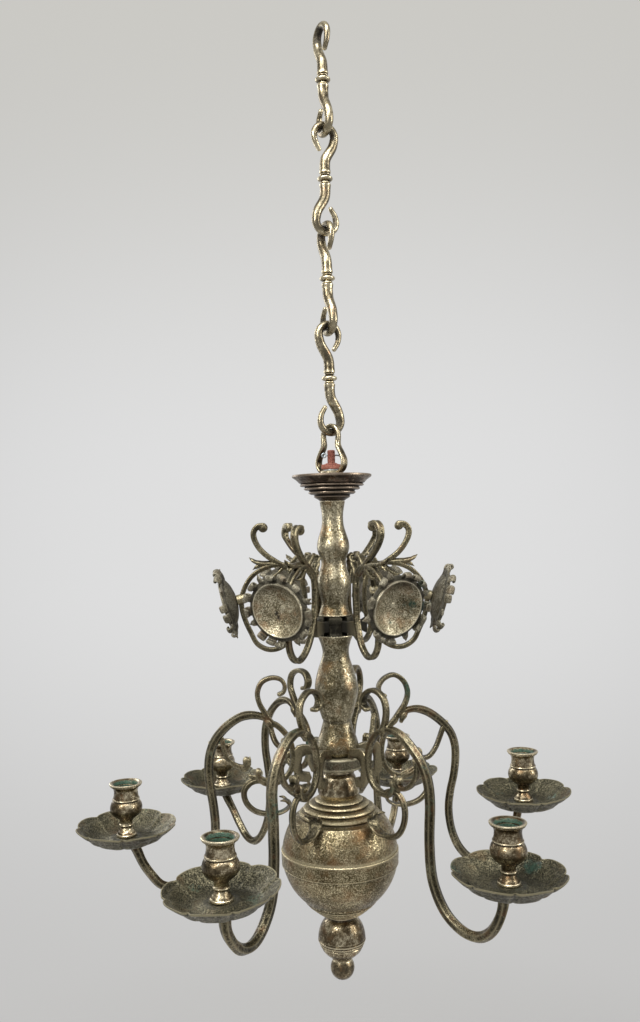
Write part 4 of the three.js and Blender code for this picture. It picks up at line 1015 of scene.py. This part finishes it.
def panForm(number):
    form = Form()
    steps = 160
    lobes = pan["lobes"]
    chance = random.Random(40 + number)
    depth = [chance.uniform(0.75, 1.25) for k in range(lobes)]
    # rings from the hole in the middle out to the rim, as shares of the radius
    shares = [3.3 / pan["radius"], 0.12, 0.2, 0.262, 0.275, 0.30, 0.34, 0.39, 0.45, 0.52, 0.59, 0.65, 0.71,
              0.77, 0.82, 0.85, 0.872, 0.885, 0.90, 0.925, 0.95, 0.975, 0.992]

    def edge(angle):
        # how far out the rim is, how near a valley, and how far between two lobes
        turn = angle / (2 * math.pi) * lobes
        nearest = round(turn)
        away = abs(turn - nearest)
        cut = math.exp(-(away / 0.055) ** 2) * 0.75 + math.exp(-(away / 0.16) ** 2) * 0.35
        far = pan["radius"] + 0.7 * math.sin(away * math.pi) - pan["notch"] * depth[nearest % lobes] * cut
        return far, math.exp(-(away / 0.13) ** 2), away

    def place(share, angle, under):
        far, valley, away = edge(angle)
        r = far * share if share > 0.3 else pan["radius"] * share
        z = between(panRise, share)[0]
        lift = max(0.0, share - 0.6) / 0.4
        z -= pan["flute"] * valley * lift + 0.5 * math.cos(away * 2 * math.pi) * lift * lift
        z += 0.35 * noise.noise(Vector((math.cos(angle) * r, math.sin(angle) * r, number * 9.0)) / 11)
        if under:
            z -= pan["wall"] * (1 if share < 0.97 else 0.8)
        return Vector((r * math.cos(angle), r * math.sin(angle), z))

    shift = Vector((number * 4.7, number * 1.9, 0))
    rings = []
    for under, order in ((False, shares + [1.0]), (True, [1.0] + shares[::-1])):
        for share in order:
            ring = []
            for k in range(steps):
                angle = 2 * math.pi * k / steps
                p = place(share, angle, under)
                if share == 1.0:
                    p.z += 0.35 if under else -0.25
                green = max(0.0, noise.noise(p / 26 + shift) - 0.12) * 0.9 if not under else 0.05
                if number == 6 and not under:
                    green += max(0.0, 1 - (p - Vector((-8, 40, -6))).length / 15) * 0.8
                # a darker ring on the floor round the socket's foot
                grimeAndShade = 0.6 if 0.262 <= share <= 0.30 and not under else 0.0
                ring.append(form.add(p, green, grimeAndShade))
            rings.append(ring)
    for a, b in zip(rings, rings[1:]):
        form.bridge(a, b)
    form.bridge(rings[-1], rings[0])
    return form


for number in range(1, 7):
    rimHigh = millimetres("drip_pan_%d" % number)[1].z
    about, across = pan["tilt"][number - 1]
    tilt = turned(about, "X") @ turned(across, "Y")
    form = setDown(panForm(number), armTurns[number - 1], armReaches[number - 1], rimHigh, tilt)
    makePiece("drip_dish_%d" % number, form, "chandelier_body", metals["panBrass"],
              ["drip_pan_%d" % number], 60)
print("drip pans made")


# Turned candle sockets

socketProfile = profileLine(
    [(3.3, 0), (10.6, 0), (11.0, 0.5), (11.0, 2.0), (10.5, 2.7), (9.9, 3.0)],
    ("soft", 4, [(9.8, 3.1), (9.2, 4.6), (7.6, 6.8), (6.3, 9.3)]),
    [(6.4, 10.3), (7.0, 10.8), (7.8, 11.3), (8.1, 12.2), (7.8, 13.1), (7.1, 13.6), (6.9, 14.3)],
    ("soft", 6, [(6.9, 14.6), (7.1, 16.4), (8.0, 18.6), (11.4, 20.9), (15.0, 24.2), (17.2, 28.0),
                 (17.65, 31.2), (17.2, 34.2), (16.0, 37.2), (15.0, 38.7)]),
    [(14.3, 39.1), (14.2, 39.7), (14.9, 40.1), (15.1, 40.9), (14.8, 41.7), (14.1, 42.1), (14.0, 42.6)],
    ("soft", 5, [(13.95, 42.9), (13.4, 46.0), (13.2, 49.5), (14.0, 52.6), (15.9, 54.7), (17.0, 55.4)]),
    [(17.3, 55.9), (17.2, 56.4), (17.8, 56.8), (18.1, 57.4), (18.0, 58.2), (17.4, 58.65), (16.2, 58.7)],
    ("soft", 4, [(15.4, 58.5), (13.6, 57.2), (12.2, 55.4), (11.4, 52.6)]),
    [(11.1, 50), (11.0, 44), (11.0, 36), (11.0, 31.2), (10.4, 30.7), (0, 30.7)])
socketHollow = [(0, 9), (3.3, 9), (3.3, 0)]
socketLine = socketHollow + socketProfile


def boreGreen(height, number):
    # verdigris in the bore, thinner towards the rim
    if height > 54 and number > len(socketLine) - 16:
        return 0.55 + 0.4 * (58.7 - height) / 5
    return 0.95 if number > len(socketLine) - 8 else 0.0


# painted shade deep in the bore and on its floor
def deepBoreShade(height, number):
    return 0.95 if number > len(socketLine) - 6 and height < 46 else 0.0


for number in range(1, 7):
    socketFoot = millimetres("candle_socket_%d" % number)[0].z
    base = turnUp(Form(), socketLine, 72, 0.15, boreGreen, deepBoreShade)
    form = setDown(base, armTurns[number - 1], armReaches[number - 1], socketFoot)
    unevenly(form, 30, 0.25, number + 60)
    makePiece("candle_cup_%d" % number, form, "chandelier_body", metals["socketBrass"],
              ["candle_socket_%d" % number], 30)
print("candle sockets made")


# Reflector brackets and their reflectors

bracket = {"stem": 42, "reach": 107.5, "rise": 68, "bar": 3.6, "padHeight": 0.48, "padHalf": 5, "pin": 2.3,
           "tilt": 15, "knob": 5.2, "key": 7, "waver": 0.5}
onPad = Matrix.Translation((bracket["reach"], 0, bracket["rise"] * bracket["padHeight"]))
onPad = onPad @ turned(90 + bracket["tilt"], "Y")
# The ring of each bracket differs: round seen from the side, deep and narrow at the front
roundRing = [(36, 50), (40.5, 61), (50, 68.5), (62, 71), (76, 69), (90, 62), (100, 51), (106, 37),
             (107, 24), (103, 8), (97, -6), (90, -19), (78, -26), (65, -25), (52, -16), (41.5, -2),
             (36, 14), (34.5, 32)]
leftRing = [(45.5, 52), (49, 62), (58, 69), (70, 70.5), (84, 67), (96, 58.5), (104, 47), (107, 34),
            (106, 18), (105, 0), (103, -14), (96, -25), (85, -29.5), (74, -26), (63, -16), (53.5, 0),
            (48, 16), (45.5, 34)]
rightRing = [(46, 52), (50, 62), (58, 69), (69, 70), (82, 66), (93, 58), (102, 47), (106.5, 34),
             (103, 20), (95, 8), (89, -4), (86, -17), (79, -26.5), (69, -29.5), (60, -24), (52, -13),
             (47, 4), (45.5, 22)]
longHorn = [(48, 60), (56, 68), (66, 74.5), (77, 82), (86, 91), (91, 101), (91.5, 109), (87, 115),
            (81, 115.5)]
midHorn = [(48, 60), (55, 68), (64, 74.5), (74, 82), (82, 91), (87, 101), (87.5, 109), (83, 114.5),
           (77, 115)]
leftHorn = [(51, 58), (57, 66), (64, 73), (72, 81), (79, 90), (82.5, 100), (81, 108.5), (76, 112.5),
            (70, 112)]
rightHorn = [(52, 59), (59, 67), (68, 75), (77, 83), (84, 92), (88, 103), (87, 112), (81, 116.5),
             (74, 115)]
# one row per bracket: its ring, its horn, how far its inner side stands in or out, sideways lean
bracketShapes = [(roundRing, midHorn, -6, 1), (roundRing, midHorn, 0, -13), (roundRing, midHorn, 0, 15),
                 (roundRing, longHorn, -6, -1), (leftRing, leftHorn, 4, -3), (rightRing, rightHorn, 4, 5)]


def bracketForm(number):
    top, b = bracket["rise"], bracket["bar"]
    ringLine, hornLine, inset, lean = bracketShapes[number - 1]
    s = bracket["stem"] + inset
    chance = random.Random(70 + number)
    form = Form()
    t = b * 0.8
    lay(form, ringLine + ringLine[:2], 8, [(0, t, b), (1, t, b)], ridged, 1.9)
    lay(form, hornLine, 7,
        [(0, t * 0.7, b * 0.7), (0.12, t * 1.1, b * 1.0), (0.6, t * 1.15, b * 1.08),
         (0.85, t * 1.25, b * 1.2), (1, t * 1.5, b * 1.35)], ridged, 1.7)
    size = bracket["knob"] + chance.uniform(-0.3, 0.4)
    knob = turnUp(Form(), [(size * math.sin(math.radians(a)), size * 0.95 * math.cos(math.radians(a)))
                           for a in range(0, 181, 12)], 24)
    tipX, tipZ = hornLine[-1]
    form.join(knob, Matrix.Translation((tipX - 0.5, 0, tipZ - 1.8)) @ turned(90, "X"))
    # leaves at the top of the stem: one curls in to the axis, a small one stands between it and the horn
    lay(form, [(s + 1, 47), (s + 0.5, 57), (s - 1.5, 65), (s - 4.5, 71), (s - 8, 75.5)], 7,
        [(0, t * 0.8, b * 0.8), (0.6, t * 0.9, b * 1.1), (0.85, t * 0.7, b * 1.4), (1, t * 0.35, b * 1.1)],
        leafStrap)
    lay(form, [(s - 7, 74.5), (s - 9, 76.8), (s - 10, 79.6), (s - 8.6, 82)], 5,
        [(0, t * 0.5, b * 0.9), (0.6, t * 0.5, b * 1.1), (1, t * 0.3, b * 0.6)], strap)
    lay(form, [(s + 14, 67), (s + 12.5, 73), (s + 8.5, 78), (s + 4, 81.5), (s + 1.5, 80.5)], 6,
        [(0, t * 0.8, b * 0.8), (0.5, t * 0.8, b * 1.1), (0.8, t * 0.9, b * 1.2), (1, t * 0.5, b * 0.7)],
        strap)
    # the long leaf over the ring, its fork and the small leaf under it
    lay(form, [(s + 18, top * 1.02), (s + 29, top * 1.05), (s + 39, top * 1.06), (s + 48, top * 1.07),
               (s + 55, top * 1.10), (s + 61, top * 1.17)], 7,
        [(0, t * 0.8, b * 0.7), (0.35, t * 0.9, b * 0.95), (0.7, t * 0.8, b * 1.15),
         (0.88, t * 0.6, b * 0.95), (1, 0.4, 0.8)], leafStrap)
    lay(form, [(s + 44, top * 1.06), (s + 51, top * 1.03), (s + 57, top * 0.97)], 6,
        [(0, t * 0.7, b * 0.7), (0.6, t * 0.8, b * 0.8), (1, 0.4, 0.8)], strap)
    lay(form, [(s + 22, top * 0.99), (s + 28, top * 0.90), (s + 36, top * 0.84), (s + 43, top * 0.86)], 6,
        [(0, t * 0.8, b * 0.8), (0.6, t * 0.8, b * 1.0), (1, 0.5, 1.0)], leafStrap)
    # each horn leans a little to one side
    for i, p in enumerate(form.points):
        if p.z > 62:
            form.points[i] = Vector((p.x, p.y + lean * min(1.0, (p.z - 62) / 40) ** 1.2, p.z))
    hole, side = bracket["pin"] + 0.3, bracket["padHalf"]
    pad = turnUp(Form(), [(hole, -side), (5.2, -side), (6.0, -side + 0.8), (6.0, side - 0.8), (5.2, side),
                          (hole, side), (hole, -side)], 32)
    form.join(pad, onPad)
    slotEnd = stem["bracketPlate"][0] - slots["bracketDepth"] + 0.3
    key = keyForm([(slotEnd, 6), (30, 6), (s - 1, 9), (s + 1, 9), (s + 1, -8), (s - 1, -9), (30, -6),
                   (slotEnd, -6)], bracket["key"])
    # painted shade on the key, darkest in the plate's slot
    key.grimeAndShade = [1.0 if p.x < 37 else 0.4 for p in key.points]
    form.join(key)
    return unevenly(form, 24, bracket["waver"], number + 80)


reflector = {"depth": 11, "petals": 16, "petalReach": 43, "wall": 2.2, "gap": 0.3}


def petalSection(thick, wide):
    return strapSection(thick, wide, 18, 2.6)


def reflectorForm(number):
    back = bracket["padHalf"] + reflector["gap"]
    rim = back + reflector["wall"] + reflector["depth"]
    chance = random.Random(90 + number)
    shift = Vector((number * 5.1, 2.3, number * 1.7))
    profile = profileLine(
        ("soft", 4, [(0, back + 2.2), (9, back + 2.9), (17.4, back + 5.5), (24, back + 9.3),
                     (27.2, back + 12.2), (28.0, rim - 0.3)]),
        [(28.3, rim + 0.3), (28.9, rim + 0.7), (29.7, rim + 0.5), (30.1, rim - 0.4), (29.9, rim - 2.2)],
        ("soft", 3, [(29.6, rim - 3.4), (26.5, rim - 6.2), (19, rim - 10.4), (10, back + 0.3)]),
        [(0, back)])
    form = turnUp(Form(), profile, 96, 0.25)
    for i, p in enumerate(form.points):
        form.green[i] = max(0.0, noise.noise(p / 15 + shift) - 0.30) * 0.5
        if number == 6:
            # this bowl has two green blots
            blot = max(0.0, 1 - (p - Vector((-2, 20, 12))).length / 15) * 0.75
            form.green[i] += blot + max(0.0, 1 - (p - Vector((17, -3, 11))).length / 5) * 0.7
        if p.z > back + 1.5 and p.length < 40:
            # painted shadow of the upper edge inside the bowl
            form.grimeAndShade[i] = 0.5 * max(0.0, min(1.0, (-p.x - 12) / 12))
        if p.z - back < 0.9 + 0.0108 * (p.x ** 2 + p.y ** 2):
            # the back of the bowl is darkened all over
            form.grimeAndShade[i] = 0.8
        if number == 5 and abs(p.x - 8) < 4.5 and abs(p.y + 7 - (p.x - 8) * 0.4) < 1.6:
            # a dark scar across this one
            form.grimeAndShade[i] = 1.0
    # ragged flange behind the rim, then rolled petals with a few long pointed ones among them
    flange = [(28.5, rim - 1.8), (33.2, rim - 2.3), (34.6, rim - 2.9), (34.4, rim - 4.3), (31.0, rim - 5.0),
              (27.5, rim - 4.6), (28.5, rim - 1.8)]
    ragged = turnUp(Form(), flange, 96, 1.6)
    ragged.grimeAndShade = [0.9] * len(ragged.points)
    form.join(ragged)
    count = reflector["petals"]
    for k in range(count):
        angle = 2 * math.pi * (k + chance.uniform(-0.12, 0.12)) / count
        fat = chance.uniform(0.88, 1.14)
        lift = chance.uniform(-0.8, 0.8)
        out = chance.uniform(-1.4, 0.8)
        if k % 4 == 1:
            line = [(27.5, rim - 4.2), (33, rim - 3.0), (38, rim - 2.2 + lift),
                    (reflector["petalReach"] - 0.9, rim - 3.0 + lift)]
            rows = [(0, 1.4, 3.4), (0.35, 1.6, 4.5 * fat), (0.7, 1.4, 3.2 * fat), (1, 0.7, 0.9)]
        else:
            line = [(27.5, rim - 4.4), (32, rim - 3.4), (36 + out, rim - 2.4 + lift),
                    (38.8 + out, rim - 0.4 + lift), (39.0 + out, rim + 1.8 + lift),
                    (36.9 + out, rim + 3.0 + lift), (35.0 + out, rim + 2.0 + lift)]
            rows = [(0, 1.3, 3.6), (0.3, 1.5, 4.7 * fat), (0.6, 1.5, 5.0 * fat), (0.85, 1.4, 4.5 * fat),
                    (1, 1.2, 3.6 * fat)]
        petal = lay(Form(), line, 5, rows, petalSection)
        petal.grimeAndShade = [0.95 if p.x < 34 else 0.62 for p in petal.points]
        if number == 6 and abs(math.sin(angle) - 0.8) < 0.3 and math.cos(angle) < 0.3:
            petal.green = [0.4] * len(petal.points)
        twist = turned(chance.uniform(-16, 16), "X")
        form.join(petal, Matrix.Rotation(angle, 4, "Z") @ twist)
    pin = bracket["pin"]
    shank = [(0, -7.0), (pin - 0.6, -6.9), (pin, -6.2), (pin, back + 1), (0, back + 1)]
    form.join(turnUp(Form(), shank, 24))
    if number in (1, 4):
        # painted shade darkens the two reflectors at the sides
        form.grimeAndShade = [max(g, 0.62) for g in form.grimeAndShade]
    rivet = [(0, back + 3.2), (1.4, back + 3.1), (2.6, back + 2.6), (3.0, back + 1.6), (0, back + 1)]
    return form.join(turnUp(Form(), rivet, 24))


bracketMiddle = millimetres("bracket_plate")[1].z - stem["bracketPlate"][1] / 2
for number in range(1, 7):
    turn = bracketTurns[number - 1]
    form = setDown(bracketForm(number), turn, 0, bracketMiddle)
    makePiece("scroll_bracket_%d" % number, form, "chandelier_body", metals["armBrass"],
              ["reflector_bracket_%d" % number], 40)
    petals = Form().join(reflectorForm(number), onPad)
    form = setDown(petals, turn, 0, bracketMiddle)
    makePiece("reflector_dish_%d" % number, form, "chandelier_body", metals["bowlBrass"],
              ["reflector_%d" % number], 45)
print("brackets and reflectors made")


# Camera, lamps and the pale studio

view = {"place": (-0.14316, -1.04081, -0.574), "turn": 7.05, "pitch": 0.81, "roll": -1.27, "lens": 32.05}

camera = bpy.data.objects.new("camera", bpy.data.cameras.new("camera"))
camera.data.lens = view["lens"]
camera.data.sensor_width = 36
camera.data.clip_end = 60
scene.collection.objects.link(camera)
aimed = turned(-view["turn"], "Z") @ turned(90 + view["pitch"], "X")
camera.matrix_world = Matrix.Translation(view["place"]) @ aimed @ turned(view["roll"], "Z")
scene.camera = camera

lamps = {
    "key": {"place": (-1.35, -1.45, 0.65), "aim": (0, 0, -0.75), "size": (0.7, 1.3), "power": 44,
            "colour": (1, 0.97, 0.92)},
    "fill": {"place": (1.9, -0.75, 0.1), "aim": (0, 0, -0.75), "size": (0.5, 1.5), "power": 24,
             "colour": (1, 0.96, 0.90)},
    "top": {"place": (-0.15, -0.95, 1.05), "aim": (0, 0, -0.8), "size": (1.3, 0.9), "power": 30,
            "colour": (1, 1, 1)},
    "rim": {"place": (-0.9, 1.1, -0.1), "aim": (0, 0, -0.8), "size": (0.5, 1.4), "power": 8,
            "colour": (1, 1, 1)},
}
for name, lamp in lamps.items():
    light = bpy.data.lights.new(name, "AREA")
    light.shape = "RECTANGLE"
    light.size, light.size_y = lamp["size"]
    light.energy = lamp["power"]
    light.color = lamp["colour"]
    obj = bpy.data.objects.new(name + " lamp", light)
    scene.collection.objects.link(obj)
    aim = Vector(lamp["aim"]) - Vector(lamp["place"])
    obj.matrix_world = Matrix.Translation(lamp["place"]) @ aim.to_track_quat("-Z", "Y").to_matrix().to_4x4()

studio = {"floor": -1.8, "reach": 3.0, "fadeFrom": 0.4, "fadeTo": 1.7, "floorColour": (0.74, 0.735, 0.725),
          "pale": (0.74, 0.74, 0.74), "front": (0.44, 0.44, 0.44), "low": (0.56, 0.555, 0.545),
          "high": (0.60, 0.59, 0.555), "room": (0.11, 0.11, 0.115)}


def shownTo(tree):
    # camera, glossy and transmission rays see the pale studio
    path = tree.nodes.new("ShaderNodeLightPath")
    seen = path.outputs["Is Camera Ray"]
    for ray in ("Is Glossy Ray", "Is Transmission Ray"):
        most = tree.nodes.new("ShaderNodeMath")
        most.operation = "MAXIMUM"
        tree.links.new(seen, most.inputs[0])
        tree.links.new(path.outputs[ray], most.inputs[1])
        seen = most.outputs[0]
    return seen


def studioWorld():
    world = bpy.data.worlds.new("pale studio")
    scene.world = world
    world.use_nodes = True
    tree = world.node_tree
    tree.nodes.clear()
    link = tree.links.new
    place = tree.nodes.new("ShaderNodeTexCoord")
    behind = turned(-view["turn"], "Z") @ Vector((0, 1, 0))
    facing = tree.nodes.new("ShaderNodeVectorMath")
    facing.operation = "DOT_PRODUCT"
    facing.inputs[1].default_value = behind
    link(place.outputs["Generated"], facing.inputs[0])
    parts = tree.nodes.new("ShaderNodeSeparateXYZ")
    link(place.outputs["Generated"], parts.inputs[0])

    def span(source, low, high):
        n = tree.nodes.new("ShaderNodeMapRange")
        n.interpolation_type = "SMOOTHSTEP"
        n.inputs[1].default_value = low
        n.inputs[2].default_value = high
        link(source, n.inputs[0])
        return n.outputs[0]

    def blend(share, a, b):
        n = tree.nodes.new("ShaderNodeMix")
        n.data_type = "RGBA"
        link(share, n.inputs[0])
        for i, value in ((6, a), (7, b)):
            if isinstance(value, tuple):
                n.inputs[i].default_value = (*value, 1)
            else:
                link(value, n.inputs[i])
        return n.outputs[2]

    # palest straight behind the chandelier, a little darker above, below and in front
    colour = blend(span(facing.outputs["Value"], 0.72, 1.01), studio["front"], studio["pale"])
    colour = blend(span(parts.outputs["Z"], 0.05, 0.60), colour, studio["high"])
    colour = blend(span(parts.outputs["Z"], -0.05, -0.55), colour, studio["low"])
    colour = blend(shownTo(tree), studio["room"], colour)
    ground = tree.nodes.new("ShaderNodeBackground")
    link(colour, ground.inputs["Color"])
    link(ground.outputs[0], tree.nodes.new("ShaderNodeOutputWorld").inputs["Surface"])


def floorMaterial():
    made = bpy.data.materials.new("pale floor")
    made.use_nodes = True
    tree = made.node_tree
    tree.nodes.clear()
    link = tree.links.new
    shader = tree.nodes.new("ShaderNodeBsdfPrincipled")
    shader.inputs["Roughness"].default_value = 0.9
    place = tree.nodes.new("ShaderNodeTexCoord")
    cloud = tree.nodes.new("ShaderNodeTexNoise")
    cloud.inputs["Scale"].default_value = 1.3
    link(place.outputs["Object"], cloud.inputs["Vector"])
    ramp = tree.nodes.new("ShaderNodeValToRGB")
    ramp.color_ramp.elements[0].color = (*(v * 0.94 for v in studio["floorColour"]), 1)
    ramp.color_ramp.elements[1].color = (*studio["floorColour"], 1)
    link(cloud.outputs["Fac"], ramp.inputs["Fac"])
    link(ramp.outputs["Color"], shader.inputs["Base Color"])
    # the floor fades out into the studio round it
    away = tree.nodes.new("ShaderNodeVectorMath")
    away.operation = "LENGTH"
    link(place.outputs["Object"], away.inputs[0])
    fade = tree.nodes.new("ShaderNodeMapRange")
    fade.interpolation_type = "SMOOTHSTEP"
    fade.inputs[1].default_value = studio["fadeFrom"]
    fade.inputs[2].default_value = studio["fadeTo"]
    link(away.outputs["Value"], fade.inputs[0])
    clear = tree.nodes.new("ShaderNodeBsdfTransparent")
    mix = tree.nodes.new("ShaderNodeMixShader")
    link(fade.outputs[0], mix.inputs[0])
    link(shader.outputs[0], mix.inputs[1])
    link(clear.outputs[0], mix.inputs[2])
    link(mix.outputs[0], tree.nodes.new("ShaderNodeOutputMaterial").inputs["Surface"])
    return made


def studioFloor():
    form = Form()
    angles = [2 * math.pi * k / 48 for k in range(48)]
    reach = studio["reach"]
    form.close(form.ring([Vector((reach * math.cos(a), reach * math.sin(a), 0)) for a in angles]), False)
    mesh = bpy.data.meshes.new("studio floor")
    mesh.from_pydata(form.points, [], form.faces)
    obj = bpy.data.objects.new("studio_floor", mesh)
    obj.location = (0, 0, studio["floor"])
    scene.collection.objects.link(obj)
    mesh.materials.append(floorMaterial())


studioWorld()
studioFloor()
print("studio ready")
